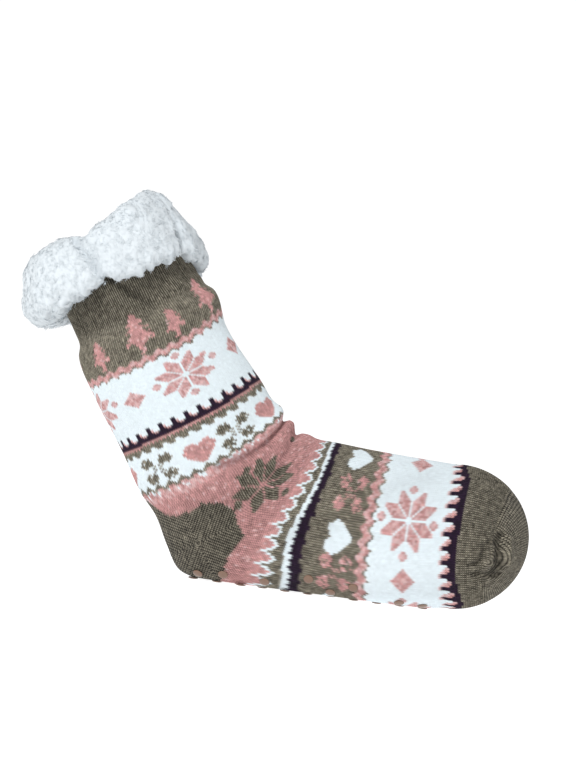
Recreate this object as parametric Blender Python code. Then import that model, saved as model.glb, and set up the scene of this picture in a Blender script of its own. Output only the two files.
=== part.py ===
"""Slipper sock: a sock knitted in one piece, with a fleece lining, a turned-down fleece cuff and grip dots.

The sock stands empty on its grip dots. +X runs from the heel to the toe, +Z is up, and the sock is
the same on both sides of the plane Y = 0, apart from the soft lie of its cuff. The origin is on the
floor, under the middle of the heel. Every piece is worked out from one surface: sections set across
the leg, the heel and the foot, each spanning from the back or sole line to the front or instep line.
"""

import math
from collections import namedtuple

import bmesh
import bpy
import numpy as np
from mathutils import Vector

# Driving sizes, in metres and degrees.
FOOT_LENGTH = 0.245  # back of the heel to the tip of the toe
FOOT_HEIGHT = 0.102  # sole to instep
BALL_WIDTH = 0.084
TOE_LENGTH = 0.0500  # length of the rounded end of the toe
LEG_LENGTH = 0.163  # middle of the ankle to the knit's top edge, along the leg
LEG_DEPTH = 0.104  # back to front
LEG_WIDTH = 0.080  # side to side
LEG_LEAN = 34.0  # degrees that the leg leans back from upright
KNIT_WALL = 0.0018
FLEECE_WALL = 0.0045  # backing and pile of the lining
CLEARANCE = 0.0003  # between two pieces that touch
POCKET_STEP = 0.0006  # how far the toe and heel pockets stand out of the foot
POCKET_EDGE = 0.0020  # length over which the toe pocket's step rises
CUFF_DROP = 0.047  # knit's top edge inside the fold down to the cuff's hem at the back
CUFF_RISE = 0.014  # knit's top edge up to the top of the fold
CUFF_BULGE_BACK = 0.0225  # how far the cuff stands out of the knit, behind
CUFF_BULGE_FRONT = 0.0135  # and in front
CUFF_WALL = 0.0075  # backing and pile of the cuff's turned-down leg
CUFF_SEAT = 0.026  # how far the cuff's inner leg reaches down inside the knit
DOT_RADIUS = 0.0034
DOT_HEIGHT = 0.0009
DOT_PITCH = 0.0156  # from row to row, along the sole
DOT_SPACING = 0.0125  # in a row, round the sole
ARCH_DOT_SPACING = 0.0172  # in the rows at the arch, which reach up the sides
ARCH_DOT_ROWS = (5, 6, 7)
DOT_ROWS = 11
DOT_TAPER = 0.8  # radius of a dot's face, as a share of its back's

SOLE_PLANE = DOT_HEIGHT + CLEARANCE  # height of the flat of the sole above the floor

# Fineness of the faceted solids.
KNIT_RING_PITCH = 0.0100
LINING_RING_PITCH = 0.0165
KNIT_SEGMENTS = 36  # the cuff has as many, so that its slot follows the knit's facets
LINING_SEGMENTS = 24
DOME_RINGS = 6
DOT_SIDES = 12

# Leg sections, from the knit's top edge down to the shin. along is a share of LEG_LENGTH from the
# ankle's middle, shift and depth are shares of LEG_DEPTH, width is a share of LEG_WIDTH, and bow is
# the sag of the knit's courses on the sides, towards the toe, as a share of LEG_DEPTH.
LegRow = namedtuple("LegRow", "name along shift depth width square bow")
LEG_ROWS = (
    LegRow("top_edge", 1.000, 0.000, 0.870, 0.892, 2.0, 0.014),
    LegRow("rib_top", 0.860, 0.000, 0.873, 0.892, 2.0, 0.016),
    LegRow("rib_middle", 0.730, 0.000, 0.880, 0.894, 2.0, 0.020),
    LegRow("rib_foot", 0.672, 0.000, 0.900, 0.912, 2.0, 0.022),
    LegRow("below_rib", 0.630, 0.000, 0.978, 0.985, 2.0, 0.024),
    LegRow("shin", 0.470, -0.030, 0.968, 1.000, 2.0, 0.024),
    LegRow("lower_shin", 0.199, -0.006, 1.010, 0.985, 2.0, 0.030),
)

# Heel and foot sections, from the ankle to the start of the toe. The x columns are shares of
# FOOT_LENGTH from the origin, the z columns are shares of FOOT_HEIGHT above the sole plane, width is
# a share of BALL_WIDTH, square is the exponent of the lower half's outline, and bow is a share of
# FOOT_HEIGHT.
FootRow = namedtuple("FootRow", "name sole_x sole_z top_x top_z width square bow")
FOOT_ROWS = (
    FootRow("ankle", -0.233, 0.493, 0.117, 1.135, 0.905, 2.1, 0.060),
    FootRow("heel_back", -0.187, 0.365, 0.141, 1.091, 0.870, 2.1, 0.055),
    FootRow("heel_curve", -0.147, 0.185, 0.163, 1.054, 0.820, 2.2, 0.045),
    FootRow("heel_turn", -0.107, 0.040, 0.183, 1.029, 0.780, 2.4, 0.037),
    FootRow("heel_seat", -0.055, -0.004, 0.202, 1.016, 0.785, 2.6, 0.022),
    FootRow("waist_back", 0.085, -0.034, 0.238, 1.007, 0.830, 2.6, -0.015),
    FootRow("waist", 0.200, -0.034, 0.278, 1.003, 0.880, 2.7, -0.045),
    FootRow("instep", 0.340, -0.034, 0.374, 0.986, 0.945, 2.7, -0.050),
    FootRow("ball", 0.490, -0.032, 0.496, 0.973, 1.000, 2.7, -0.055),
    FootRow("toe_start", 0.640, 0.018, 0.628, 0.962, 0.985, 2.4, -0.060),
)

ANKLE_X = -0.048  # middle of the leg at the ankle, as a share of FOOT_LENGTH
ANKLE_Z = 0.787  # and of FOOT_HEIGHT, above the sole plane
UPPER_SQUARE = 2.05  # exponent of the outline's upper half

# Folds where the leg bends over the instep, as soft ridges and troughs across the front. along is a
# share of the way from the ankle section to the waist section, and width is a share of that way.
Fold = namedtuple("Fold", "along height width reach")
FOLDS = (
    Fold(0.08, 0.0018, 0.11, 0.9),
    Fold(0.30, -0.0014, 0.10, 0.8),
    Fold(0.52, 0.0014, 0.12, 0.7),
)

# How the fleece cuff lies at places round the collar. turn is in degrees from the back, over the -Y
# side, to the front at 180 and on to the back. hem and top raise the hem and the fold, as shares of
# CUFF_DROP, bulge is a share of the bulge there, and crown is how much of it the fold's shoulder has.
CuffPlace = namedtuple("CuffPlace", "turn hem top bulge crown")
CUFF_LIE = (
    CuffPlace(0, 0.27, -0.05, 1.12, 0.80),
    CuffPlace(25, 0.35, 0.01, 1.06, 0.84),
    CuffPlace(50, 0.45, 0.05, 0.92, 0.90),
    CuffPlace(64, 0.47, 0.01, 0.84, 0.90),
    CuffPlace(78, 0.55, -0.08, 0.60, 0.90),
    CuffPlace(92, 0.42, 0.00, 0.92, 0.90),
    CuffPlace(120, 0.38, 0.09, 1.05, 0.85),
    CuffPlace(145, 0.38, 0.13, 0.95, 0.70),
    CuffPlace(165, 0.22, 0.02, 0.90, 0.55),
    CuffPlace(180, 0.08, -0.12, 0.92, 0.50),
    CuffPlace(215, 0.04, 0.02, 1.00, 0.65),
    CuffPlace(250, 0.16, 0.04, 1.05, 0.85),
    CuffPlace(278, 0.30, -0.07, 0.66, 0.90),
    CuffPlace(305, 0.22, 0.03, 0.95, 0.92),
    CuffPlace(335, 0.22, 0.01, 1.04, 0.86),
    CuffPlace(360, 0.27, -0.05, 1.12, 0.80),
)
FLEECE_LUMP = 0.0010  # height of the fleece's lumps
FLEECE_LUMPS_ROUND = 17
FLEECE_LUMPS_DOWN = 5

# Columns of the worked-out section table.
BACK_X, BACK_Z, FRONT_X, FRONT_Z, HALF_WIDTH, SQUARE, BOW = range(7)


def leg_section(row):
    """One section of the leg as back and front points, half width, exponent and bow."""
    lean = math.radians(LEG_LEAN)
    along, across = (-math.sin(lean), math.cos(lean)), (math.cos(lean), math.sin(lean))
    reach, shift, half = row.along * LEG_LENGTH, row.shift * LEG_DEPTH, row.depth * LEG_DEPTH / 2
    x = ANKLE_X * FOOT_LENGTH + along[0] * reach + across[0] * shift
    z = SOLE_PLANE + ANKLE_Z * FOOT_HEIGHT + along[1] * reach + across[1] * shift
    back = (x - across[0] * half, z - across[1] * half)
    front = (x + across[0] * half, z + across[1] * half)
    return (*back, *front, row.width * LEG_WIDTH / 2, row.square, row.bow * LEG_DEPTH)


def foot_section(row):
    """One section of the heel or foot, in the same columns as a leg section."""
    sole_z = SOLE_PLANE + row.sole_z * FOOT_HEIGHT
    top_z = SOLE_PLANE + row.top_z * FOOT_HEIGHT
    sole = (row.sole_x * FOOT_LENGTH, sole_z)
    top = (row.top_x * FOOT_LENGTH, top_z)
    return (*sole, *top, row.width * BALL_WIDTH / 2, row.square, row.bow * FOOT_HEIGHT)


SECTIONS = np.array([leg_section(r) for r in LEG_ROWS] + [foot_section(r) for r in FOOT_ROWS])
NAMES = [row.name for row in LEG_ROWS + FOOT_ROWS]


def stations(sections):
    """Distance of each section along the line through the sections' middles."""
    middle = (sections[:, [BACK_X, BACK_Z]] + sections[:, [FRONT_X, FRONT_Z]]) / 2
    steps = np.linalg.norm(np.diff(middle, axis=0), axis=1)
    return np.concatenate([[0.0], np.cumsum(steps)])


STATIONS = stations(SECTIONS)
TOE_STATION = STATIONS[-1]


def slopes(values, places):
    """Slope of each column at each section, for a smooth curve through the table."""
    steps = np.diff(values, axis=0) / np.diff(places)[:, None]
    inner = (steps[:-1] + steps[1:]) / 2
    return np.vstack([steps[:1], inner, steps[-1:]])


SLOPES = slopes(SECTIONS, STATIONS)


def station_of(name):
    return STATIONS[NAMES.index(name)]


def section_at(station):
    """The section table read at any station, as one row for each station given."""
    station = np.clip(station, 0.0, TOE_STATION)
    cell = np.clip(np.searchsorted(STATIONS, station, side="right") - 1, 0, len(STATIONS) - 2)
    span = STATIONS[cell + 1] - STATIONS[cell]
    t = ((station - STATIONS[cell]) / span)[:, None]
    start, end = SECTIONS[cell], SECTIONS[cell + 1]
    leave, arrive = SLOPES[cell] * span[:, None], SLOPES[cell + 1] * span[:, None]
    return (
        start * (2 * t**3 - 3 * t**2 + 1)
        + leave * (t**3 - 2 * t**2 + t)
        + end * (3 * t**2 - 2 * t**3)
        + arrive * (t**3 - t**2)
    )


def rounded(value, square):
    """A sine or cosine bent so that its outline is a squarer or rounder ellipse."""
    return np.sign(value) * np.abs(value) ** (2.0 / square)


def sock_surface(station, turn):
    """Points of the sock's outer surface. station is the distance from the knit's top edge, and past
    the start of the toe it runs on over the toe's end in metres. turn goes round the section in
    radians, from the back or sole over the -Y side to the front or instep."""
    station, turn = np.broadcast_arrays(np.asarray(station, float), np.asarray(turn, float))
    shape = station.shape
    station, turn = station.ravel(), turn.ravel()
    row = section_at(station)
    back, front = row[:, [BACK_X, BACK_Z]], row[:, [FRONT_X, FRONT_Z]]
    height = np.linalg.norm(front - back, axis=1)
    across = (front - back) / height[:, None]
    along = np.stack([across[:, 1], -across[:, 0]], axis=1)
    over = np.clip((station - TOE_STATION) / TOE_LENGTH, 0.0, 1.0) * math.pi / 2
    shrink = np.cos(over)
    middle = (back + front) / 2 + along * (TOE_LENGTH * np.sin(over))[:, None]
    down = np.cos(turn)
    square = np.where(down > 0, row[:, SQUARE], UPPER_SQUARE)
    up = -rounded(down, square) * height / 2 * shrink
    side = -rounded(np.sin(turn), square) * row[:, HALF_WIDTH] * shrink
    sag = row[:, BOW] * np.sin(turn) ** 2 * shrink
    plane = middle + across * up[:, None] + along * sag[:, None]
    z = np.maximum(plane[:, 1], SOLE_PLANE)
    return np.stack([plane[:, 0], side, z], axis=1).reshape(*shape, 3)


def outward(station, turn):
    """Unit normals of the sock's surface, pointing out."""
    step, swing = 0.0008, 0.02
    ahead = sock_surface(station + step, turn) - sock_surface(station - step, turn)
    round_ = sock_surface(station, turn + swing) - sock_surface(station, turn - swing)
    normal = np.cross(ahead, round_)
    length = np.linalg.norm(normal, axis=-1, keepdims=True)
    tip = sock_surface(TOE_STATION + TOE_LENGTH, 0.0) - sock_surface(TOE_STATION, math.pi / 2)
    tip[1] = 0.0
    tip /= np.linalg.norm(tip)
    return np.where(length > 1e-10, normal / np.maximum(length, 1e-10), tip)


def shell(station, turn, offset):
    """The sock's surface moved out along its normals by offset, or in if offset is negative."""
    end = station >= TOE_STATION + TOE_LENGTH - 1e-9
    safe = np.where(end, TOE_STATION + TOE_LENGTH * 0.985, station)
    normal = outward(safe, turn)
    tip = normal.reshape(-1, 3)[np.atleast_1d(end).ravel()]
    if len(tip):
        mean = tip.mean(axis=0)
        normal = np.where(end[..., None], mean / np.linalg.norm(mean), normal)
    return sock_surface(station, turn) + normal * np.asarray(offset)[..., None]


def ring_stations(start, pitch):
    """Stations of the rings of a faceted sock, from start to the tip of the toe."""
    marks = [start] + [s for s in STATIONS if s > start + 1e-6]
    rings = [start]
    for low, high in zip(marks, marks[1:]):
        steps = max(1, round((high - low) / pitch))
        rings += [low + (high - low) * i / steps for i in range(1, steps + 1)]
    dome = [TOE_STATION + TOE_LENGTH * i / DOME_RINGS for i in range(1, DOME_RINGS + 1)]
    return np.array(rings + dome)


def bump(distance, width):
    """A soft hill of height 1, gone at a distance of two widths."""
    return np.exp(-((distance / width) ** 2))


def knit_relief(station, turn):
    """How far the knit stands out of the plain surface: folds over the instep and the pockets."""
    front = np.clip(-np.cos(turn), 0.0, 1.0)
    start, end = station_of("ankle"), station_of("waist")
    relief = np.zeros(np.broadcast(station, turn).shape)
    for fold in FOLDS:
        place = start + fold.along * (end - start)
        ridge = bump(station - place, fold.width * (end - start))
        relief += fold.height * ridge * front ** (2.0 / fold.reach)
    toe = np.clip((station - TOE_STATION) / POCKET_EDGE + 0.5, 0.0, 1.0)
    heel_middle = (station_of("heel_back") + station_of("heel_seat")) / 2
    heel_half = (station_of("waist_back") - station_of("ankle")) / 2
    behind = np.clip(np.cos(turn) * 1.6 - 0.2, 0.0, 1.0)
    heel = np.clip(1.3 - np.abs(station - heel_middle) / heel_half, 0.0, 1.0) * behind
    return relief + POCKET_STEP * np.maximum(toe, np.clip(heel * 3.0, 0.0, 1.0))


def knit_face(station, turn):
    """Points of the knit's face, with its folds and pockets, no lower than the flat of the sole."""
    points = shell(station, turn, knit_relief(station, turn))
    points[..., 2] = np.maximum(points[..., 2], SOLE_PLANE)
    return points


def tube_sheet(bm, rings, segments, place):
    """A grid rolled into a tube along the sock. place gives the points for stations and turns."""
    made = bmesh.ops.create_grid(bm, x_segments=segments, y_segments=len(rings) - 1, size=1.0)
    verts = made["verts"]
    columns = np.rint((np.array([v.co.x for v in verts]) + 1) / 2 * segments)
    lines = np.rint((np.array([v.co.y for v in verts]) + 1) / 2 * (len(rings) - 1)).astype(int)
    turns = (columns % segments) / segments * 2 * math.pi
    for vert, point in zip(verts, place(rings[lines], turns)):
        vert.co = point
    bmesh.ops.remove_doubles(bm, verts=verts, dist=1e-6)


def open_rims(bm):
    return [e for e in bm.edges if e.is_boundary]


def finish_solid(name, bm, material, smooth_angle=40.0):
    """Makes the bmesh an object of that name, closed, with its faces pointing out."""
    bmesh.ops.recalc_face_normals(bm, faces=bm.faces[:])
    mesh = bpy.data.meshes.new(name)
    bm.to_mesh(mesh)
    bm.free()
    mesh.materials.append(material)
    mesh.shade_smooth()
    mesh.set_sharp_from_angle(angle=math.radians(smooth_angle))
    piece = bpy.data.objects.new(name, mesh)
    bpy.context.scene.collection.objects.link(piece)
    return piece


def make_material(name, colour, roughness):
    material = bpy.data.materials.new(name)
    material.use_nodes = True
    shader = material.node_tree.nodes["Principled BSDF"]
    shader.inputs["Base Color"].default_value = (*colour, 1.0)
    shader.inputs["Roughness"].default_value = roughness
    shader.inputs["Metallic"].default_value = 0.0
    material.diffuse_color = (*colour, 1.0)
    return material


def hollow_sock(name, start, pitch, segments, outside, inside, material):
    """A hollow sock, open at its top: an outer and an inner tube bridged at the rim."""
    bm = bmesh.new()
    rings = ring_stations(start, pitch)
    tube_sheet(bm, rings, segments, outside)
    tube_sheet(bm, rings, segments, inside)
    bmesh.ops.bridge_loops(bm, edges=open_rims(bm))
    return finish_solid(name, bm, material)


def make_knit_upper():
    """Leg, heel pocket, foot and toe pocket, knitted as one tube with an even wall."""
    wool = make_material("taupe_knit", (0.13, 0.115, 0.082), 0.9)

    def inside(station, turn):
        folds = knit_relief(station, turn).clip(None, 0.0)
        return shell(station, turn, folds - KNIT_WALL)

    hollow_sock("knit_upper", 0.0, KNIT_RING_PITCH, KNIT_SEGMENTS, knit_face, inside, wool)


def make_fleece_lining():
    """The fleece boot sewn inside the knit, from below the cuff's inner leg to the toe."""
    fleece = make_material("white_fleece", (0.80, 0.80, 0.80), 1.0)
    skin = KNIT_WALL + CLEARANCE + fold_depth()
    start = CUFF_SEAT + CLEARANCE

    def outside(station, turn):
        return shell(station, turn, np.full(station.shape, -skin))

    def inside(station, turn):
        return shell(station, turn, np.full(station.shape, -skin - FLEECE_WALL))

    rows = (start, LINING_RING_PITCH, LINING_SEGMENTS)
    hollow_sock("fleece_lining", *rows, outside, inside, fleece)


def fold_depth():
    """How far the deepest fold pushes the knit in, which the lining keeps clear of."""
    return max(0.0, -min(fold.height for fold in FOLDS))


def cuff_lie(turn):
    """The hem, top, bulge and crown shares of the cuff at a turn, read smoothly from the table."""
    places = np.array(CUFF_LIE, float)
    degrees = np.degrees(turn) % 360
    cell = np.clip(np.searchsorted(places[:, 0], degrees, side="right") - 1, 0, len(places) - 2)
    t = (degrees - places[cell, 0]) / (places[cell + 1, 0] - places[cell, 0])
    t = t * t * (3 - 2 * t)
    return places[cell, 1:] * (1 - t)[:, None] + places[cell + 1, 1:] * t[:, None]


def cuff_point(turn, out, rise):
    """A point of the cuff: out from the knit's surface, and rise above the knit's top edge, or down
    inside the cuff where rise is negative."""
    below = np.clip(-rise, 0.0, None)
    lean = math.radians(LEG_LEAN)
    up = np.array([-math.sin(lean), 0.0, math.cos(lean)])
    return shell(below, turn, out) + up * np.clip(rise, 0.0, None)[..., None]


def cuff_profile(turn):
    """The cuff's cross-section at each turn, as out and rise of each corner, in order: up the slot's
    inner side, over the knit's edge, down the hollow of the fold to the hem, which lies on the knit,
    then up the outside and over into the collar."""
    hem, top, bulge, crown = cuff_lie(turn).T
    front = (1 - np.cos(turn)) / 2
    stand = (CUFF_BULGE_BACK * (1 - front) + CUFF_BULGE_FRONT * front) * bulge
    low = -CUFF_DROP * (1 - hem)
    high = CUFF_RISE + CUFF_DROP * top
    tall = high - low
    even = np.ones_like(turn)
    slot_in, slot_out = -(KNIT_WALL + CLEARANCE) * even, CLEARANCE * even
    inner = slot_in - FLEECE_WALL
    hollow = np.maximum(stand * 0.95 - CUFF_WALL, 0.0)
    seat = -CUFF_SEAT * even
    outline = [
        (slot_in, seat),
        (slot_in, CLEARANCE * even),
        (slot_out, CLEARANCE * even),
        (slot_out + hollow * 0.5, -CLEARANCE - CUFF_WALL * even / 2),
        (slot_out + hollow, low * 0.50),
        (slot_out + hollow * 0.9, low + CUFF_WALL * 1.3),
        (slot_out, low + CUFF_WALL * 0.5),
        (stand * 0.35, low),
        (stand * 0.72, low + tall * 0.03),
        (stand * 0.92, low + tall * 0.13),
        (stand * 0.99, low + tall * 0.27),
        (stand * (0.85 + 0.15 * crown), low + tall * 0.42),
        (stand * (0.55 + 0.42 * crown), low + tall * 0.57),
        (stand * (0.25 + 0.68 * crown), low + tall * 0.72),
        (stand * (0.08 + 0.70 * crown), low + tall * 0.86),
        (stand * 0.50 * crown, low + tall * 0.96),
        (stand * 0.14 * crown, high),
        (inner * 0.45, high - tall * 0.03),
        (inner * 0.95, high - tall * 0.12),
        (inner * 1.15, high - tall * 0.24),
        (inner, low * 0.30),
        (inner, seat),
    ]
    return np.array(outline)


PILE_CORNERS = range(7, 20)  # the corners of the profile that the fleece's pile covers


def make_fleece_cuff():
    """The fleece turned down over the knit's top edge, with the knit standing in its slot."""
    fleece = make_material("white_fleece_cuff", (0.82, 0.82, 0.82), 1.0)
    turns = np.arange(KNIT_SEGMENTS) / KNIT_SEGMENTS * 2 * math.pi
    profile = cuff_profile(turns)
    corners = len(profile)
    for k in PILE_CORNERS:
        phase = turns * FLEECE_LUMPS_ROUND + k * FLEECE_LUMPS_DOWN * 0.9
        profile[k, 0] += FLEECE_LUMP * np.sin(phase) * np.where(profile[k, 0] > 0, 1.0, -0.5)
    bm = bmesh.new()
    made = bmesh.ops.create_grid(bm, x_segments=KNIT_SEGMENTS, y_segments=corners, size=1.0)
    verts = made["verts"]
    columns = np.rint((np.array([v.co.x for v in verts]) + 1) / 2 * KNIT_SEGMENTS).astype(int)
    lines = np.rint((np.array([v.co.y for v in verts]) + 1) / 2 * corners).astype(int)
    columns, lines = columns % KNIT_SEGMENTS, lines % corners
    out, rise = profile[lines, 0, columns], profile[lines, 1, columns]
    for vert, point in zip(verts, cuff_point(turns[columns], out, rise)):
        vert.co = point
    bmesh.ops.remove_doubles(bm, verts=verts, dist=1e-6)
    finish_solid("fleece_cuff", bm, fleece)


def turn_at_arc(station, arc):
    """The turn at which the way round the section from the sole's middle is as long as arc."""
    turns = np.linspace(0.0, math.pi, 361)
    points = sock_surface(np.full(turns.shape, station), turns)
    walked = np.concatenate([[0.0], np.cumsum(np.linalg.norm(np.diff(points, axis=0), axis=1))])
    return math.copysign(float(np.interp(abs(arc), walked, turns)), arc)


def sole_station(x):
    """The station whose section meets the sole line at this x."""
    places = np.linspace(station_of("heel_turn"), TOE_STATION, 400)
    return float(np.interp(x, sock_surface(places, np.zeros(400))[:, 0], places))


def make_grip_dots():
    """Rows of soft grip dots printed under the sole, every other row set between its neighbours. The
    second row's middle dot is the one at the origin."""
    rubber = make_material("amber_grip", (0.20, 0.12, 0.07), 0.35)
    count = 0
    for row in range(DOT_ROWS):
        station = sole_station((row - 1) * DOT_PITCH)
        places = (-2, -1, 0, 1, 2) if row % 2 == 1 else (-1.5, -0.5, 0.5, 1.5)
        spacing = ARCH_DOT_SPACING if row in ARCH_DOT_ROWS else DOT_SPACING
        for place in places:
            count += 1
            turn = turn_at_arc(station, place * spacing)
            make_grip_dot(f"grip_dot_{count:02d}", station, turn, rubber)


def make_grip_dot(name, station, turn, material):
    """One round dot, its flat back a clearance off the knit and its face away from it. A dot that
    would dip below the floor when square to the knit lies flat on the floor."""
    bm = bmesh.new()
    sizes = {"radius1": DOT_RADIUS, "radius2": DOT_RADIUS * DOT_TAPER, "depth": DOT_HEIGHT}
    bmesh.ops.create_cone(bm, cap_ends=True, segments=DOT_SIDES, **sizes)
    piece = finish_solid(name, bm, material)
    point = knit_face(np.array(station), np.array(turn))
    down = Vector((0.0, 0.0, -1.0))
    way = Vector(outward(np.array(station), np.array(turn)))
    place = dot_centre(station, turn, point, way)
    if dot_lowest(place, way) < 0.0:
        way = down
        place = dot_centre(station, turn, point, way)
    piece.rotation_mode = "QUATERNION"
    piece.rotation_quaternion = way.to_track_quat("Z", "Y")
    piece.location = place


def dot_centre(station, turn, point, way):
    """Middle of a dot that faces this way, with its back a clearance off the knit at the point."""
    seat = CLEARANCE + knit_bulge(station, turn, point, np.array(way)) + DOT_HEIGHT / 2
    return Vector(point) + way * seat


def dot_lowest(place, way):
    """Height of the lowest point of a dot's back and face above the floor."""
    side = math.sqrt(max(0.0, 1.0 - way.z**2))
    back = place.z - way.z * DOT_HEIGHT / 2 - DOT_RADIUS * side
    face = place.z + way.z * DOT_HEIGHT / 2 - DOT_RADIUS * DOT_TAPER * side
    return min(back, face)


def knit_bulge(station, turn, point, way):
    """How far the knit round a dot bulges past the dot's flat back, so that the dot sits off it."""
    ring = np.arange(12) / 12 * 2 * math.pi
    swing = DOT_RADIUS / (BALL_WIDTH / 2)
    near = knit_face(station + DOT_RADIUS * np.cos(ring), turn + swing * np.sin(ring))
    return max(0.0, float(((near - point) @ way).max()))


def main():
    for piece in list(bpy.data.objects):
        bpy.data.objects.remove(piece)
    make_knit_upper()
    make_fleece_lining()
    make_fleece_cuff()
    make_grip_dots()


main()
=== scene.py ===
# %% [markdown]
# # A knitted slipper sock with a fleece cuff
# The sock is a tube of stranded knitting, lined with fleece that is turned down over its top edge as a
# cuff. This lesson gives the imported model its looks. The knit and the cuff are laid on one surface, read
# from the same sections as the solid model, so stitches, creases and pile follow the sock's real form.

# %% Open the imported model
import math
from collections import namedtuple

import bmesh
import bpy
import numpy as np
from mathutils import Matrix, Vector, kdtree, noise


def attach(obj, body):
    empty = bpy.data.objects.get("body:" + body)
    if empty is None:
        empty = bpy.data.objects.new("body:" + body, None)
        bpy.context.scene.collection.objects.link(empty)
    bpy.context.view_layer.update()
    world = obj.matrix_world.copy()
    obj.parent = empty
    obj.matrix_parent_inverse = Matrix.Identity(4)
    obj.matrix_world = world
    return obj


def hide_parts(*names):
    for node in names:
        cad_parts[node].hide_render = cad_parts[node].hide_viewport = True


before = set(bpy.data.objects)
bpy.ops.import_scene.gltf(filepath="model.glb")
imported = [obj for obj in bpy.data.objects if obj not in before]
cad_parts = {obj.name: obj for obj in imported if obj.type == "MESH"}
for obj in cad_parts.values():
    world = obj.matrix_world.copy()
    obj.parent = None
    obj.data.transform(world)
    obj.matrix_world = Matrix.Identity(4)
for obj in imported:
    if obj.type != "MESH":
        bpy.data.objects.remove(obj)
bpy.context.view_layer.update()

print(len(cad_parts), "pieces in the packed model")

# %% [markdown]
# ## The sock's sizes
# The sections are set across the leg, the heel and the foot, and each spans from the back or sole line
# to the front or instep line. They are shares of a few real sizes, in metres, as in the solid model.
# The solid model could also be copied and carved, but its faces know nothing of wales and courses.

# %% Sizes and sections
FOOT_LENGTH = 0.245
FOOT_HEIGHT = 0.102
BALL_WIDTH = 0.084
TOE_LENGTH = 0.050
LEG_LENGTH = 0.163
LEG_DEPTH = 0.104
LEG_WIDTH = 0.080
LEG_LEAN = math.radians(34.0)
KNIT_WALL = 0.0018
FLEECE_WALL = 0.0045
CLEARANCE = 0.0003
SOLE_PLANE = 0.0012
ANKLE_X = -0.048 * FOOT_LENGTH
ANKLE_Z = SOLE_PLANE + 0.787 * FOOT_HEIGHT
UPPER_SQUARE = 2.05

LegRow = namedtuple("LegRow", "name along shift depth width square bow")
LEG_ROWS = (
    LegRow("top_edge", 1.000, 0.000, 0.870, 0.892, 2.0, 0.014),
    LegRow("rib_top", 0.860, 0.000, 0.873, 0.892, 2.0, 0.016),
    LegRow("rib_middle", 0.730, 0.000, 0.880, 0.894, 2.0, 0.020),
    LegRow("rib_foot", 0.672, 0.000, 0.900, 0.912, 2.0, 0.022),
    LegRow("below_rib", 0.630, 0.000, 0.978, 0.985, 2.0, 0.024),
    LegRow("shin", 0.470, -0.030, 0.968, 1.000, 2.0, 0.024),
    LegRow("lower_shin", 0.199, -0.006, 1.010, 0.985, 2.0, 0.030),
)
FootRow = namedtuple("FootRow", "name sole_x sole_z top_x top_z width square bow")
FOOT_ROWS = (
    FootRow("ankle", -0.233, 0.493, 0.117, 1.135, 0.905, 2.1, 0.060),
    FootRow("heel_back", -0.187, 0.365, 0.141, 1.091, 0.870, 2.1, 0.055),
    FootRow("heel_curve", -0.147, 0.185, 0.163, 1.054, 0.820, 2.2, 0.045),
    FootRow("heel_turn", -0.107, 0.040, 0.183, 1.029, 0.780, 2.4, 0.037),
    FootRow("heel_seat", -0.055, -0.004, 0.202, 1.016, 0.785, 2.6, 0.022),
    FootRow("waist_back", 0.085, -0.034, 0.238, 1.007, 0.830, 2.6, -0.015),
    FootRow("waist", 0.200, -0.034, 0.278, 1.003, 0.880, 2.7, -0.045),
    FootRow("instep", 0.340, -0.034, 0.374, 0.986, 0.945, 2.7, -0.050),
    FootRow("ball", 0.490, -0.032, 0.496, 0.973, 1.000, 2.7, -0.055),
    FootRow("toe_start", 0.640, 0.018, 0.628, 0.962, 0.985, 2.4, -0.060),
)


def leg_section(row):
    """Back point, front point, half width, exponent and bow of a leg section."""
    along = np.array([-math.sin(LEG_LEAN), math.cos(LEG_LEAN)])
    across = np.array([math.cos(LEG_LEAN), math.sin(LEG_LEAN)])
    ankle = np.array([ANKLE_X, ANKLE_Z])
    middle = ankle + along * row.along * LEG_LENGTH + across * row.shift * LEG_DEPTH
    half = across * row.depth * LEG_DEPTH / 2
    half_width = row.width * LEG_WIDTH / 2
    return (*(middle - half), *(middle + half), half_width, row.square, row.bow * LEG_DEPTH)


def foot_section(row):
    """The same columns for a section of the heel or foot."""
    sole = (row.sole_x * FOOT_LENGTH, SOLE_PLANE + row.sole_z * FOOT_HEIGHT)
    top = (row.top_x * FOOT_LENGTH, SOLE_PLANE + row.top_z * FOOT_HEIGHT)
    return (*sole, *top, row.width * BALL_WIDTH / 2, row.square, row.bow * FOOT_HEIGHT)


SECTIONS = np.array([leg_section(r) for r in LEG_ROWS] + [foot_section(r) for r in FOOT_ROWS])
NAMES = [row.name for row in LEG_ROWS + FOOT_ROWS]
middles = (SECTIONS[:, 0:2] + SECTIONS[:, 2:4]) / 2
STATIONS = np.concatenate([[0.0], np.cumsum(np.linalg.norm(np.diff(middles, axis=0), axis=1))])
TOE_STATION = STATIONS[-1]
steps = np.diff(SECTIONS, axis=0) / np.diff(STATIONS)[:, None]
SLOPES = np.vstack([steps[:1], (steps[:-1] + steps[1:]) / 2, steps[-1:]])
print("stations in mm:", np.round(STATIONS * 1000, 1))

# %% [markdown]
# ## The surface
# A place on the sock is a station, the distance from the knit's top edge along the sock, and a turn,
# the way round it from the back or sole. Past the start of the toe the station runs over the rounded
# end. Sections between the named ones are read with a smooth curve. A formula like this is chosen
# because any row of stitches can then be asked for its points, however fine the rows are.

# %% Points and normals of the surface
POLE_SHARE = 0.985  # normals are taken just short of the toe's pole, where all turns meet
NORMAL_STEP = 0.0008
NORMAL_TURN = 0.02


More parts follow.
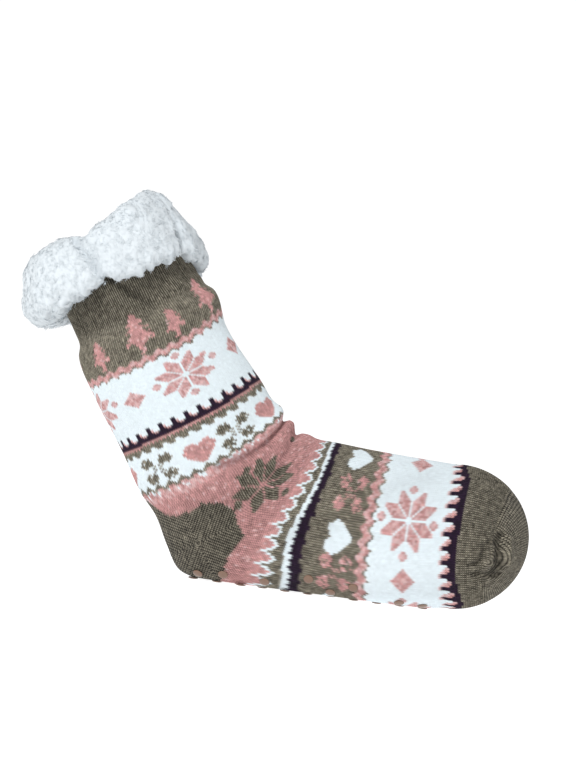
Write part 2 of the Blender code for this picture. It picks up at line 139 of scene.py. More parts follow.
def section_at(station):
    """The columns of SECTIONS at each station, on a smooth curve through the named sections."""
    station = np.clip(station, 0.0, TOE_STATION)
    cell = np.clip(np.searchsorted(STATIONS, station, side="right") - 1, 0, len(STATIONS) - 2)
    span = STATIONS[cell + 1] - STATIONS[cell]
    t = ((station - STATIONS[cell]) / span)[:, None]
    leave, arrive = SLOPES[cell] * span[:, None], SLOPES[cell + 1] * span[:, None]
    start, end = SECTIONS[cell], SECTIONS[cell + 1]
    from_start = start * (2 * t**3 - 3 * t**2 + 1) + leave * (t**3 - 2 * t**2 + t)
    return from_start + end * (3 * t**2 - 2 * t**3) + arrive * (t**3 - t**2)


def rounded(value, square):
    """A sine or cosine for a rounded outline: 2 gives an ellipse, and more is squarer."""
    return np.sign(value) * np.abs(value) ** (2.0 / square)


def sock_surface(station, turn):
    """Points of the knit's outside, without its creases and stitches."""
    station, turn = np.broadcast_arrays(np.asarray(station, float), np.asarray(turn, float))
    shape = station.shape
    station, turn = station.ravel(), turn.ravel()
    row = section_at(station)
    back, front = row[:, 0:2], row[:, 2:4]
    height = np.linalg.norm(front - back, axis=1)
    across = (front - back) / height[:, None]
    along = np.stack([across[:, 1], -across[:, 0]], axis=1)
    over = np.clip((station - TOE_STATION) / TOE_LENGTH, 0.0, 1.0) * math.pi / 2
    shrink = np.cos(over)
    middle = (back + front) / 2 + along * (TOE_LENGTH * np.sin(over))[:, None]
    down = np.cos(turn)
    square = np.where(down > 0, row[:, 5], UPPER_SQUARE)
    up = -rounded(down, square) * height / 2 * shrink
    side = -rounded(np.sin(turn), square) * row[:, 4] * shrink
    sag = row[:, 6] * np.sin(turn) ** 2 * shrink
    plane = middle + across * up[:, None] + along * sag[:, None]
    z = np.maximum(plane[:, 1], SOLE_PLANE)
    return np.stack([plane[:, 0], side, z], axis=1).reshape(*shape, 3)


def outward(station, turn):
    safe = np.minimum(station, TOE_STATION + TOE_LENGTH * POLE_SHARE)
    ahead = sock_surface(safe + NORMAL_STEP, turn) - sock_surface(safe - NORMAL_STEP, turn)
    aside = sock_surface(safe, turn + NORMAL_TURN) - sock_surface(safe, turn - NORMAL_TURN)
    normal = np.cross(ahead, aside)
    return normal / np.maximum(np.linalg.norm(normal, axis=-1, keepdims=True), 1e-10)


def shell(station, turn, offset):
    """The surface moved out along its normals by offset, or in where offset is negative."""
    return sock_surface(station, turn) + outward(station, turn) * np.asarray(offset)[..., None]


# %% [markdown]
# ## Stitches round and along
# The sock has 180 wales, the columns of stitches, all the way round. A wale keeps the same width round
# one section, so the turn of each wale is worked out from the way walked round the section. Courses,
# the rows of stitches, are closer together on the leg than on the foot. Even steps of the turn would
# be simpler, but the stitches of one course would then differ in width.

# %% Wales and courses
WALES = 180
Zone = namedtuple("Zone", "name start end courses")
ZONES = (
    Zone("rib", 0.0, 0.0514, 46),
    Zone("leg", 0.0514, 0.1596, 103),
    Zone("foot", 0.1596, TOE_STATION, 131),
    Zone("toe", TOE_STATION, TOE_STATION + TOE_LENGTH, 54),
)
course_starts = [np.linspace(z.start, z.end, z.courses, endpoint=False) for z in ZONES]
COURSES = np.concatenate(course_starts + [[ZONES[-1].end]])
COURSE_COUNT = len(COURSES) - 1
WALK_STEPS = 181  # turns at which half of the way round a section is measured
LAST_WALK = 0.97  # share of the toe's length past which the section is too small to measure


def wale_turns(station, wales):
    """The turn of each place in wales, an array of wale numbers, at one station."""
    turns = np.linspace(0.0, math.pi, WALK_STEPS)
    safe = min(station, TOE_STATION + TOE_LENGTH * LAST_WALK)
    points = sock_surface(np.full(turns.shape, safe), turns)
    walked = np.concatenate([[0.0], np.cumsum(np.linalg.norm(np.diff(points, axis=0), axis=1))])
    half = WALES / 2
    near = np.interp(np.minimum(wales, WALES - wales) / half * walked[-1], walked, turns)
    return np.where(wales <= half, near, 2 * math.pi - near)


def course_at(millimetres):
    """Number of the course nearest to this distance from the top edge, in millimetres."""
    return int(np.argmin(np.abs(COURSES[:-1] - millimetres / 1000)))


print(COURSE_COUNT, "courses of", WALES, "stitches")

# %% [markdown]
# ## The knitting chart
# A knitter follows a chart on squared paper: one square for each stitch and one letter for each yarn.
# The sock has four yarns: t for taupe, w for white, p for pink and k for plum, and l for pink and white
# worked together. Borders repeat every six stitches. Trees, hearts and snowflakes stand side by side,
# and the stars and diamonds take turns round the sock. A chart is chosen over a painted picture, since
# each change of colour then falls between two stitches, as it does in real knitting.

# %% Yarns and chart helpers
YARNS = {"t": 0, "w": 1, "p": 2, "k": 3, "l": 4}
chart = np.zeros((COURSE_COUNT, WALES), int)
flecks = np.random.default_rng(3)


def stripe(start, end, yarn):
    """All the courses between two distances from the top edge, in millimetres, in one yarn."""
    chart[course_at(start) : course_at(end)] = YARNS[yarn]


def border(rows, start, shift=0):
    """Rows of six stitches, repeated all the way round, from a distance in millimetres."""
    first = course_at(start)
    for i, row in enumerate(rows):
        for wale in range(WALES):
            letter = row[(wale - shift) % len(row)]
            if letter != ".":
                chart[first + i, wale] = YARNS[letter]


def motif(rows, centre, wale, lean=0.0):
    """A motif with its middle at this distance in millimetres and at this wale. lean moves each row
    sideways by a share of its distance from the middle row."""
    first = course_at(centre) - len(rows) // 2
    for i, row in enumerate(rows):
        aside = round(wale + lean * (i - len(rows) // 2)) - len(row) // 2
        for j, letter in enumerate(row):
            if letter != ".":
                chart[first + i, (aside + j) % WALES] = YARNS[letter]


WAVE_REPEAT = 6  # wales
WAVE_START = 1.3  # wales
WAVE_RISE = 1.3  # courses
PINK_LINE, GROUND_END = 4, 10  # courses
WAVE_FLECKS = 0.30


def wave(start, ground):
    """A wavy line of pink over a thin line of taupe, round the sock, with the ground yarn below it."""
    first = course_at(start)
    for wale in range(WALES):
        rise = first + round(WAVE_RISE * math.sin((wale + WAVE_START) / WAVE_REPEAT * 2 * math.pi))
        taupe = rise + PINK_LINE
        chart[rise:taupe, wale] = YARNS["p"]
        chart[taupe, wale] = YARNS["t"]
        chart[taupe + 1 : first + GROUND_END, wale] = YARNS[ground]
    fleck(first - 2, first + 6, "p", "l", WAVE_FLECKS)
    fleck(first + 4, first + 7, "t", ground, WAVE_FLECKS)


def fleck(first, last, yarn, other, share):
    """Some stitches of one yarn, picked at random, are worked in the other."""
    rows = chart[first:last]
    picked = (rows == YARNS[yarn]) & (flecks.random(rows.shape) < share)
    rows[picked] = YARNS[other]


def recoloured(rows, yarn):
    """A motif's rows with its stitches in this yarn."""
    return [row.replace("#", yarn) for row in rows]


def mirrored(quarter):
    """A motif that is the same in its four quarters, from its upper left quarter and middle lines."""
    wide = [row + row[-2::-1] for row in quarter]
    return wide + wide[-2::-1]


# %% Motifs
LARGE_TREE = (
    ".....##......",
    ".....###.....",
    "....####.....",
    "....####.....",
    "....#####....",
    "...#######...",
    "..########...",
    "....####.....",
    "...######....",
    "..########...",
    ".#.######.##.",
    "...######....",
    "...#######...",
    "..########.#.",
    ".##########..",
    "..##########.",
    "#############",
    "##.########.#",
    "#...######.##",
    "....#####....",
    ".....###.....",
    ".....##......",
    ".....###.....",
    "......##.....",
    "......##.....",
    ".....##......",
)
SMALL_TREE = (
    "...#.....",
    "..###....",
    "...###...",
    "..####...",
    "..#####..",
    "..####...",
    ".#####.#.",
    "...####..",
    ".#######.",
    "..#####..",
    ".######..",
    ".########",
    "#########",
    "#.####.##",
    "...###...",
    "....##...",
    "....##...",
    "....##...",
    "...###...",
)
HEART = (
    "..####....###..",
    ".######.#####..",
    ".#############.",
    "###############",
    "###############",
    ".#############.",
    ".#############.",
    "..###########..",
    "...#########...",
    "....#######....",
    ".....#####.....",
    "......###......",
)
FLAKE = mirrored(
    (
        "..##.#...",
        ".#####...",
        ".######..",
        "#######..",
        ".######..",
        "..##.#.#.",
        "......#..",
        ".......#.",
    )
)
DIAMOND = mirrored(
    (
        ".....#",
        "....##",
        "...###",
        "..####",
        ".#####",
        "######",
    )
)
PIP = (".##.", "#ll#", "#ll#", ".##.")
BLOB = (".##.", "####", "####", ".##.")
STAR_REACH = 12
# First and last stitch of a petal, away from the star's middle line, from its second row outwards.
PETAL = ((1, 1), (1, 2), (1, 3), (1, 4), (1, 5), (1, 6), (1, 6), (2, 6), (3, 6), (4, 6), (5, 6))


def star_rows(stretch=1.0):
    """A star of eight petals, two in each quarter and mirrored over the quarter's diagonal."""
    tall = round(STAR_REACH * stretch)
    rows = []
    for y in range(-tall, tall + 1):
        row = ""
        for x in range(-STAR_REACH, STAR_REACH + 1):
            low, high = sorted((abs(x), round(abs(y) / stretch)))
            petal = high >= 2 and PETAL[high - 2][0] <= low <= PETAL[high - 2][1]
            row += "#" if petal and low < high else "."
        rows.append(row)
    return rows


STAR = star_rows()
LONG_STAR = star_rows(1.18)  # for the pink band: as wide, with more courses
print("a star is", len(STAR[0]), "stitches wide and", len(STAR), "high")

# %% Borders
LEG_TEETH = ("wwkkww", "wwkkww", "wwkklw", "wwkkpw", "lkkkkp", "kkkkkk", "kkkkkk", "kkkkkk")
TOE_TEETH = (
    "wwllww",
    "wwkklw",
    "wwkkll",
    "wwkkpl",
    "lwkkpp",
    "lkkkkp",
    "kkkkkk",
    "kkkkkk",
    "kkkkkk",
)
DENTILS = ("pppppp", "tptptp", "tttttt", "tttttt", "wttttw", "wwtttw")
WHITE_EDGE = ("twwwww", "ttwwwt", "tttwtt", "pptttp", "pppppp")
ZIGZAG = (
    "ppwppp",
    "ppwppp",
    "ppwwpp",
    "pwtwpp",
    "pwtwpp",
    "wwtwwp",
    "wtttww",
    "tttttw",
    "tttttt",
    "tttttt",
    "tttttt",
    "wwwwww",
    "wwwwww",
    "kwwkww",
    "kkkkkk",
    "kkkkkk",
    "kkkkkk",
    "kkkkkk",
    "ttkktt",
)
print(len(LEG_TEETH + TOE_TEETH + DENTILS + WHITE_EDGE + ZIGZAG), "rows of borders")

# %% [markdown]
# The bands follow each other down the leg and along the foot. Each place is a distance from the top edge
# in millimetres and a wale. The places are set one by one, a little uneven, as the photo shows them. A
# loop could space them evenly, but the real motifs don't lie so regularly.


# %% Helpers for motifs side by side
def ring(rows, yarn, centre, wales):
    """The same motif at each of these wales."""
    for wale in wales:
        motif(recoloured(rows, yarn), centre, wale)


def stars_with_pips(centre, wales, pips, spread):
    """Pink stars, each with small pips at these distances along and aside from its middle."""
    for wale in wales:
        motif(recoloured(STAR, "p"), centre, wale)
        for away, aside in pips:
            motif(recoloured(PIP, "p"), centre + away * spread, wale + aside)


# %% Bands of the leg
HEART_WALES = (1.0, 41.5, 78.0, 113.0, 147.5)
FLAKE_WALES = (22.3, 58.8, 96.0, 130.5, 163.0)
ring(LARGE_TREE, "p", 63.0, (39.5, 76.5, 112.5, 148.5, 176.0))
ring(SMALL_TREE, "p", 66.2, (19.5, 56.5, 94.0, 130.5, 163.0))
stripe(82.0, 124.0, "w")
wave(78.8, "w")
LEG_PIPS = ((-13.3, 0), (12.6, -0.5), (0, -13.5), (-1.5, 14.5))
stars_with_pips(100.9, (2.4, 52.2, 102.5, 152.5), LEG_PIPS, 1.05)
ring(DIAMOND, "p", 102.3, (27.0, 80.6, 127.5, 177.5))
border(LEG_TEETH, 122.8, -1)
stripe(134.0, 160.0, "w")
border(DENTILS, 131.2)
for heart_wale, flake_wale in zip(HEART_WALES, FLAKE_WALES):
    motif(recoloured(HEART, "p"), 148.6, heart_wale)
    motif(recoloured(FLAKE, "t"), 148.2, flake_wale)
fleck(course_at(139.5), course_at(157.0), "t", "w", 0.09)
print(int((chart == YARNS["p"]).sum()), "pink stitches down to the ankle")

# %% Pink band of the foot
PINK_STARS = ((56.4, 1), (123.6, -1))  # wale, and 1 on the near side or -1 on the far side
PINK_STAR_CENTRE, PINK_STAR_LEAN = 195.4, 0.14
stripe(157.6, 228.5, "p")
border(WHITE_EDGE, 156.9)
fleck(course_at(160.0), course_at(163.5), "p", "w", 0.22)
fleck(course_at(160.0), course_at(166.0), "p", "l", 0.40)
for wale, side in PINK_STARS:
    motif(recoloured(LONG_STAR, "t"), PINK_STAR_CENTRE, wale, PINK_STAR_LEAN * side)
    for away, aside in ((24.0, -0.3), (-17.3, -2.5), (-5.2, 25), (-1.8, -12.5)):
        motif(recoloured(BLOB, "t"), PINK_STAR_CENTRE + away, wale + aside * side)
border(ZIGZAG, 227.2, 3)

# %% Bands of the foot's front
stripe(253.2, 283.0, "t")
for repeat in range(5):
    motif(recoloured(HEART, "w"), 271.2, 40.5 + 36.5 * repeat)
    motif(recoloured(FLAKE, "p"), 271.8, 59.0 + 36.5 * repeat)
fleck(course_at(253.2), course_at(283.0), "p", "t", 0.24)
stripe(289.0, 340.5, "w")
wave(286.0, "w")
FOOT_PIPS = ((-12.8, 0.6), (13.0, -1.0), (0, -14), (0, 14))
stars_with_pips(315.4, (2.0, 51.0, 101.0, 151.0), FOOT_PIPS, 1.4)
ring(DIAMOND, "p", 315.4, (26.2, 80.3, 126.0, 176.5))
border(TOE_TEETH, 338.7, 2)
chart[course_at(350.6) :] = YARNS["t"]
for start, end in ((84.0, 117.0), (291.0, 335.0)):
    fleck(course_at(start), course_at(end), "p", "l", 0.40)
fleck(0, COURSE_COUNT, "p", "l", 0.05)
print({name: int((chart == number).sum()) for name, number in YARNS.items()}, "stitches of each yarn")

# %% [markdown]
# The heel pocket is plain taupe. Its edge is drawn from the side as a short outline in millimetres, x
# and z, and every stitch whose middle falls inside it belongs to the pocket. The pocket's edge slants
# over many courses, so an outline is simpler to follow than a list of stitches.

# %% Heel pocket
HEEL_START, HEEL_END = 160.0, 250.0  # the courses that can meet the pocket, in millimetres
HEEL_OUTLINE = np.array(
    (
        (-60.0, 50.0),
        (-51.1, 47.0),
        (-38.3, 40.2),
        (-31.5, 40.2),
        (-21.1, 45.9),
        (-15.9, 51.6),
        (-2.6, 53.4),
        (6.3, 50.3),
        (9.4, 42.2),
        (15.7, 33.8),
        (10.5, 26.0),
        (6.5, 18.0),
        (3.7, 3.5),
        (3.0, -5.0),
        (-60.0, -5.0),
    )
)


def inside_outline(points, outline):
    """True for each point, as x and z, that lies inside the closed outline."""
    inside = np.zeros(len(points), bool)
    x, z = points.T
    for (x0, z0), (x1, z1) in zip(outline, np.roll(outline, -1, axis=0)):
        crosses = (z0 > z) != (z1 > z)
        reach = (x1 - x0) * (z - z0) / np.where(z1 == z0, 1e-9, z1 - z0) + x0
        inside ^= crosses & (x < reach)
    return inside


heel = np.zeros(chart.shape, bool)
for course in range(course_at(HEEL_START), course_at(HEEL_END)):
    station = (COURSES[course] + COURSES[course + 1]) / 2
    turns = wale_turns(station, np.arange(WALES) + 0.5)
    points = sock_surface(np.full(WALES, station), turns)[:, [0, 2]] * 1000
    heel[course] = inside_outline(points, HEEL_OUTLINE)
chart[heel] = YARNS["t"]
print(int(heel.sum()), "stitches in the heel pocket")

# %% [markdown]
# ## Creases, gathers and folds
# A soft sock is never as smooth as its sections. The rib gathers under the cuff, the knit folds where
# the leg bends over the instep, and the toe is pinched at the end of its seam. Each is a soft ridge or
# trough drawn through a few places, given as millimetres from the top edge and as wales. A
# cloth simulation would crease the knit too, but not where the photo shows it creased.

# %% Table of creases
Crease = namedtuple("Crease", "name height width places")
NEAR_SEAM = ((366.0, 77.7), (365.5, 64.6), (364.1, 53.2), (362.1, 45.1))
FAR_SEAM = ((366.0, 102.3), (365.5, 115.4), (364.1, 126.8), (362.1, 134.9))
TOE_FOLD = ((367.2, 50.2), (366.3, 44.2), (366.0, 39.2), (366.9, 33.4), (364.6, 28.5))
TOE_LEFT_CREASE = ((362.1, 45.1), (360.2, 41.0), (359.0, 36.1), (355.4, 34.8))
CREASES = (
    Crease("cuff pinch", -0.0024, 2.6, ((22, 40), (34, 45), (48, 51))),
    Crease("cuff pinch lip", 0.0016, 3.6, ((24, 46), (36, 51), (50, 56))),
    Crease("rib swell", 0.0022, 8.0, ((50, 62), (46, 68))),
    Crease("rib gather", -0.0013, 2.2, ((24, 30), (42, 31))),
    Crease("rib gather", -0.0011, 2.0, ((22, 22), (48, 23))),
    Crease("rib gather", -0.0012, 2.0, ((26, 13), (50, 15))),
    Crease("rib gather", -0.0014, 2.4, ((26, 74), (44, 73), (56, 70))),
    Crease("rib gather", -0.0012, 2.0, ((22, 62), (40, 62))),
    Crease("rib gather", -0.0010, 2.0, ((22, 82), (48, 81))),
    Crease("rib roll", 0.0010, 4.5, ((52, 8), (54, 22), (53, 36))),
    Crease("rib roll", 0.0012, 4.5, ((50, 56), (49, 70), (50, 86))),
    Crease("ankle fold", -0.0042, 3.0, ((165, 90), (168, 80), (170, 68), (168, 56), (163, 46))),
    Crease("ankle fold", -0.0030, 3.4, ((165, 90), (167, 100), (170, 112), (168, 124))),
    Crease("ankle roll", 0.0016, 6.5, ((154, 90), (158, 80), (160, 70))),
    Crease("ankle roll", 0.0016, 6.5, ((154, 90), (158, 100), (160, 110))),
    Crease("instep roll", 0.0012, 6.5, ((178, 90), (180, 80), (184, 70))),
    Crease("instep roll", 0.0012, 6.5, ((178, 90), (180, 100), (184, 110))),
    Crease("instep crease", -0.0014, 3.2, ((190, 90), (192, 80), (196, 70), (203, 62))),
    Crease("instep crease", -0.0014, 3.2, ((190, 90), (191, 98), (195, 110))),
    Crease("heel dimple", -0.0014, 7.0, ((176, 24), (186, 34), (192, 46))),
    Crease("heel dimple", -0.0014, 7.0, ((176, 156), (188, 144), (194, 134))),
    Crease("waist dent", -0.0014, 9.0, ((240, 40), (262, 46))),
    Crease("ball dent", -0.0010, 10.0, ((296, 62), (320, 72))),
    Crease("toe seam", -0.0010, 0.8, NEAR_SEAM),
    Crease("toe seam", -0.0010, 0.8, FAR_SEAM),
    Crease("toe fold", -0.0066, 1.9, TOE_FOLD),
    Crease("toe thumb", 0.0046, 1.9, ((362.6, 43.4), (362.8, 38.8), (362.4, 34.0))),
    Crease("toe right lip", 0.0042, 2.4, ((371.0, 49.0), (370.4, 40.0), (370.8, 33.0))),
    Crease("toe left crease", -0.0030, 1.7, TOE_LEFT_CREASE),
    Crease("toe foot crease", -0.0036, 1.9, ((356.6, 30.3), (361.6, 28.7), (366.6, 27.1))),
    Crease("toe cushion", 0.0016, 5.0, ((372.0, 42.0), (371.5, 30.0))),
    Crease("toe top dent", -0.0016, 5.0, ((352.0, 84.0), (360.0, 79.0), (367.0, 77.0))),
)
print(len(CREASES), "creases on the knit")


# %% Relief of creases
WALE_WIDTH = 1.62  # millimetres, for distances across the wales


def drawn_relief(first, second, creases, scale):
    """How far creases lift a surface, in metres. A place is two numbers, such as a station and a wale,
    and scale turns both into the unit of the creases' widths."""
    places = np.stack([first, second], axis=-1) * scale
    relief = np.zeros(first.shape)
    for crease in creases:
        line = np.array(crease.places, float) * scale
        near = np.full(first.shape, np.inf)
        for start, end in zip(line, line[1:]):
            way = end - start
            t = np.clip((places - start) @ way / (way @ way), 0.0, 1.0)
            near = np.minimum(near, np.linalg.norm(places - start - t[..., None] * way, axis=-1))
        relief += crease.height * np.exp(-((near / crease.width) ** 2))
    return relief


# %% [markdown]
# The bands don't run quite level round the sock. Where the cloth is pulled they drift along it by a few
# millimetres, which a chart can't show, so each drift is a soft hill of shift round one place.

# %% Drift of the bands
Drift = namedtuple("Drift", "name shift station wale reach breadth")
DRIFTS = (
    Drift("tree band", -4.0, 74, 84, 34, 16),
    Drift("plum band", -2.0, 124, 86, 22, 20),
    Drift("plum band", 1.3, 124, 6, 20, 16),
    Drift("instep lines", -3.8, 236, 38, 16, 13),
    Drift("instep lines", 2.6, 240, 65, 14, 10),
    Drift("toe border", 1.6, 348, 13, 10, 8),
    Drift("toe border", -1.2, 348, 36, 10, 11),
    Drift("toe border", -2.6, 348, 84, 10, 7),
)


def band_drift(station, wale):
    """How many millimetres the bands lie nearer to the toe than the even courses have them."""
    near = np.minimum(wale, WALES - wale)
    shift = np.zeros(np.broadcast(station, wale).shape)
    for drift in DRIFTS:
        along = (station * 1000 - drift.station) / drift.reach
        aside = (near - drift.wale) / drift.breadth
        shift += drift.shift * np.exp(-(along**2) - aside**2)
    return shift


# %% Folds and pockets of the solid model
Fold = namedtuple("Fold", "along height width reach")
FOLDS = (Fold(0.08, 0.0018, 0.11, 0.9), Fold(0.30, -0.0014, 0.10, 0.8), Fold(0.52, 0.0014, 0.12, 0.7))
POCKET_STEP = 0.0006  # the toe pocket is knitted a little wider
POCKET_EDGE = 0.002


def fold_relief(station, turn):
    """The broad folds at the front of the ankle, which the solid model has too."""
    front = np.clip(-np.cos(turn), 0.0, 1.0)
    start, end = STATIONS[NAMES.index("ankle")], STATIONS[NAMES.index("waist")]
    relief = np.zeros(np.broadcast(station, turn).shape)
    for fold in FOLDS:
        away = (station - start - fold.along * (end - start)) / (fold.width * (end - start))
        relief += fold.height * np.exp(-(away**2)) * front ** (2.0 / fold.reach)
    return relief


# %% [markdown]
# ## The knit's face
# Each stitch is a small V. Modelled as real loops, 60,000 stitches would need millions of faces, so a
# grid has four columns of faces for each wale. The two legs of the V stand up as ridges with a furrow
# between the wales, and every row is set in a zigzag half a course deep. An attribute holds the colour
# of each stitch, softened towards its neighbours, and how much painted shade darkens the gaps between
# its loops. A UV map holds the wale and course numbers, from which the material shapes the single loops
# of yarn.

# %% Yarn colours and the painted shade in their gaps
Yarn = namedtuple("Yarn", "name red green blue gap uneven")
YARN_LOOKS = (
    Yarn("taupe", 0.350, 0.316, 0.244, 1.50, 0.26),
    Yarn("white", 0.835, 0.925, 0.970, 0.12, 0.03),
    Yarn("pink", 0.715, 0.375, 0.362, 0.95, 0.13),
    Yarn("plum", 0.019, 0.007, 0.024, 0.60, 0.20),
    Yarn("pink and white", 0.800, 0.540, 0.540, 0.60, 0.08),
)
YARN_COLOURS = np.array([(yarn.red, yarn.green, yarn.blue) for yarn in YARN_LOOKS])
YARN_GAP_SHADES = np.array([yarn.gap for yarn in YARN_LOOKS])  # how much painted shade darkens the gaps between its loops
YARN_UNEVEN = np.array([yarn.uneven for yarn in YARN_LOOKS])  # spread of its shade from stitch to stitch
print(len(YARN_LOOKS), "yarns")

# %% Furrows between the wales
RIB_GROOVE, PLAIN_GROOVE, PINK_GROOVE, TOE_GROOVE = 1.0, 0.45, 0.8, 0.75
RIB_END, PINK_START, PINK_END, TOE_START = 0.054, 0.166, 0.226, 0.347
GROOVE_FADE, TOE_FADE = 0.006, 0.004


def groove_at(station):
    """How deep the furrows are: deep in the rib, the pink band and the toe, and shallow elsewhere."""
    rib = np.clip((RIB_END - station) / GROOVE_FADE, 0.0, 1.0)
    past_pink_start = np.clip((station - PINK_START) / GROOVE_FADE, 0.0, 1.0)
    pink = past_pink_start * np.clip((PINK_END - station) / GROOVE_FADE, 0.0, 1.0)
    toe = np.clip((station - TOE_START) / TOE_FADE, 0.0, 1.0)
    groove = PLAIN_GROOVE + (RIB_GROOVE - PLAIN_GROOVE) * rib
    return groove + (PINK_GROOVE - PLAIN_GROOVE) * pink + (TOE_GROOVE - PLAIN_GROOVE) * toe


# %% Colours of the stitches
COLUMNS_IN_WALE = 4
SOFT_EDGE = 0.6  # how much a stitch takes on the colour of its neighbours at its edges
FLAT_GAP_SHADE, GROOVE_GAP_SHADE = 0.56, 0.44  # shares of the painted shade in the gaps without a furrow and from a full one
GAP_SHADE_SPREAD = (0.75, 1.15)
rng = np.random.default_rng(11)


def stitch_colours():
    """The colour of every stitch and the strength of the painted shade in its gaps, with the bands
    drifted, and whether it lies in the heel pocket."""
    stations = ((COURSES[:-1] + COURSES[1:]) / 2)[:, None]
    wales = np.arange(WALES)[None] + 0.5
    seen = stations - band_drift(stations, wales) / 1000
    course = np.clip(np.searchsorted(COURSES, seen, side="right") - 1, 0, COURSE_COUNT - 1)
    every_wale = np.broadcast_to(np.arange(WALES), course.shape)
    yarn = chart[course, every_wale]
    shade = 1.0 + rng.normal(0.0, 1.0, yarn.shape) * YARN_UNEVEN[yarn]
    # painted shade in the gaps, stronger where the furrows are deeper
    groove = groove_at(COURSES[:-1]) / RIB_GROOVE
    gap_shade_share = (FLAT_GAP_SHADE + GROOVE_GAP_SHADE * groove)[:, None]
    gap_shades = YARN_GAP_SHADES[yarn] * gap_shade_share * rng.uniform(*GAP_SHADE_SPREAD, yarn.shape)
    return np.dstack([YARN_COLOURS[yarn] * shade[..., None], gap_shades]), heel[course, every_wale]


def corner_colours(stitches):
    """The mean colour of the stitches that meet at each corner of the four-column grid, whose lines
    run between the courses and, at every other line, through the middle of a course."""
    above = np.vstack([stitches[:1], stitches])
    below = np.vstack([stitches, stitches[-1:]])
    lines = np.empty((2 * len(stitches) + 1, *stitches.shape[1:]))
    lines[0::2], lines[1::2] = (above + below) / 2, stitches
    columns = np.arange(WALES * COLUMNS_IN_WALE + 1)
    left, right = (columns - 1) // COLUMNS_IN_WALE % WALES, columns // COLUMNS_IN_WALE % WALES
    return (lines[:, left] + lines[:, right]) / 2


STITCHES, HEEL_SEEN = stitch_colours()
CORNERS = corner_colours(STITCHES)
print(STITCHES.shape[0] * STITCHES.shape[1], "stitches coloured")

# %% [markdown]
# In the heel pocket the wales run out from a small eye on the heel's side, and past the toe's seam the
# stitches turn round the two corners where the toe is folded in. The grid keeps its plain rows there,
# and only the stitch map changes, which keeps the sheet whole.

# %% Stitch maps of the pockets
HEEL_EYE = np.array((-0.0150, 0.0254))
HEEL_LEAN = math.radians(-12)
HEEL_COURSE = 0.0013
RING_WIDTH = 0.00175
RING_STITCHES = 18  # stitches to a radian round a corner of the toe
# The toe's two folded corners, as directions from the middle of the toe's start.
TOE_CORNERS = np.array(((0.52, -0.825, -0.22), (0.52, 0.825, -0.22)))
SEAM_WALES = (0.0, 25.0, 31.7, 37.7, 55.2, 76.2, 90.0)
SEAM_STATIONS = (0.3600, 0.3590, 0.3587, 0.3616, 0.3646, 0.3660, 0.3665)


def past_seam(station, wale):
    """Metres past the toe's seam, less than nothing on the foot's side of it."""
    return station - np.interp(np.minimum(wale, WALES - wale), SEAM_WALES, SEAM_STATIONS)


def toe_rings(station, turn):
    """Ring and place on the ring of each point of the toe's end."""
    over = np.clip((station - TOE_STATION) / TOE_LENGTH, 0.0, 1.0) * math.pi / 2
    shrink = np.cos(over)
    way = np.stack([np.sin(over), -np.sin(turn) * shrink, -np.cos(turn) * shrink], axis=-1)
    corner = TOE_CORNERS[(way[:, 1] > 0).astype(int)]
    from_corner = way - corner
    ring = np.linalg.norm(from_corner, axis=1) * TOE_LENGTH / RING_WIDTH
    angle = np.arctan2(from_corner[:, 2], from_corner[:, 0])
    return np.stack([ring, angle * RING_STITCHES], axis=1)


def heel_rings(points):
    """Wale and course of each point of the heel pocket, where the wales run out to its four sides
    and meet along two slanting lines through its eye."""
    x, z = (points[:, [0, 2]] - HEEL_EYE).T
    across = np.abs(x * math.cos(HEEL_LEAN) + z * math.sin(HEEL_LEAN))
    up = np.abs(z * math.cos(HEEL_LEAN) - x * math.sin(HEEL_LEAN))
    return np.stack([np.minimum(across, up) / RING_WIDTH, np.maximum(across, up) / HEEL_COURSE], axis=1)


# %% [markdown]
# One sheet of knitting is a flat grid first. Its vertices are numbered by column and row, looked up on
# the sock's surface and lifted by the relief, and last its two long edges are merged into a tube.

# %% Numbered grids and finished pieces
MERGE_DISTANCE = 1e-6


def numbered_grid(columns, rows):
    """A flat grid with so many faces across and up, its vertices, and the column and row of each."""
    bm = bmesh.new()
    verts = bmesh.ops.create_grid(bm, x_segments=columns, y_segments=rows, size=1.0)["verts"]
    flat = np.array([v.co[:2] for v in verts])
    column, row = np.rint((flat + 1) / 2 * (columns, rows)).astype(int).T
    return bm, verts, column, row


def close_seams(bm):
    """Merge the vertices that lie on each other, and turn all the faces outwards."""
    bmesh.ops.remove_doubles(bm, verts=bm.verts[:], dist=MERGE_DISTANCE)
    bmesh.ops.recalc_face_normals(bm, faces=bm.faces[:])


def finish_piece(name, bm, material):
    """Turn a bmesh into a smooth object at the origin, with one material."""
    mesh = bpy.data.meshes.new(name)
    bm.to_mesh(mesh)
    bm.free()
    return place_piece(name, mesh, material)


def place_piece(name, mesh, material):
    """Put a mesh in the scene as an object of its own, and say how large it is."""
    mesh.materials.append(material)
    mesh.shade_smooth()
    piece = bpy.data.objects.new(name, mesh)
    bpy.context.scene.collection.objects.link(piece)
    print(name, "has", sum(face.loop_total - 2 for face in mesh.polygons), "triangles")
    return piece


# %% Shape of a sheet
RELIEF_ACROSS = np.array((-0.00052, 0.00022, 0.00002, 0.00022))  # of the four columns of a wale
DEEPEST = -0.0028  # the lining lies just below
SEAM_SOFTNESS = 0.002  # length over which the plain stitches give way to the toe's rings
HEEL_RELIEF = 0.15  # the heel pocket's wales don't follow the grid, so its ridges are left low


def sheet_places(first, rows, columns, fine, column, row):
    """Station, turn, wale and course of each vertex, with the rows set in a zigzag."""
    numbers = first + np.arange(rows + 1) / fine
    lines = np.interp(numbers, np.arange(COURSE_COUNT + 1), COURSES)
    pitch = np.interp(numbers, np.arange(COURSE_COUNT + 1), np.gradient(COURSES))
    turns = np.array([wale_turns(s, np.arange(columns + 1) / COLUMNS_IN_WALE) for s in lines])
    zigzag = 0.5 * np.abs(1 - column % COLUMNS_IN_WALE / 2)
    station = np.clip(lines[row] - pitch[row] * zigzag, 0.0, ZONES[-1].end)
    return station, turns[row, column], column / COLUMNS_IN_WALE, numbers[row]


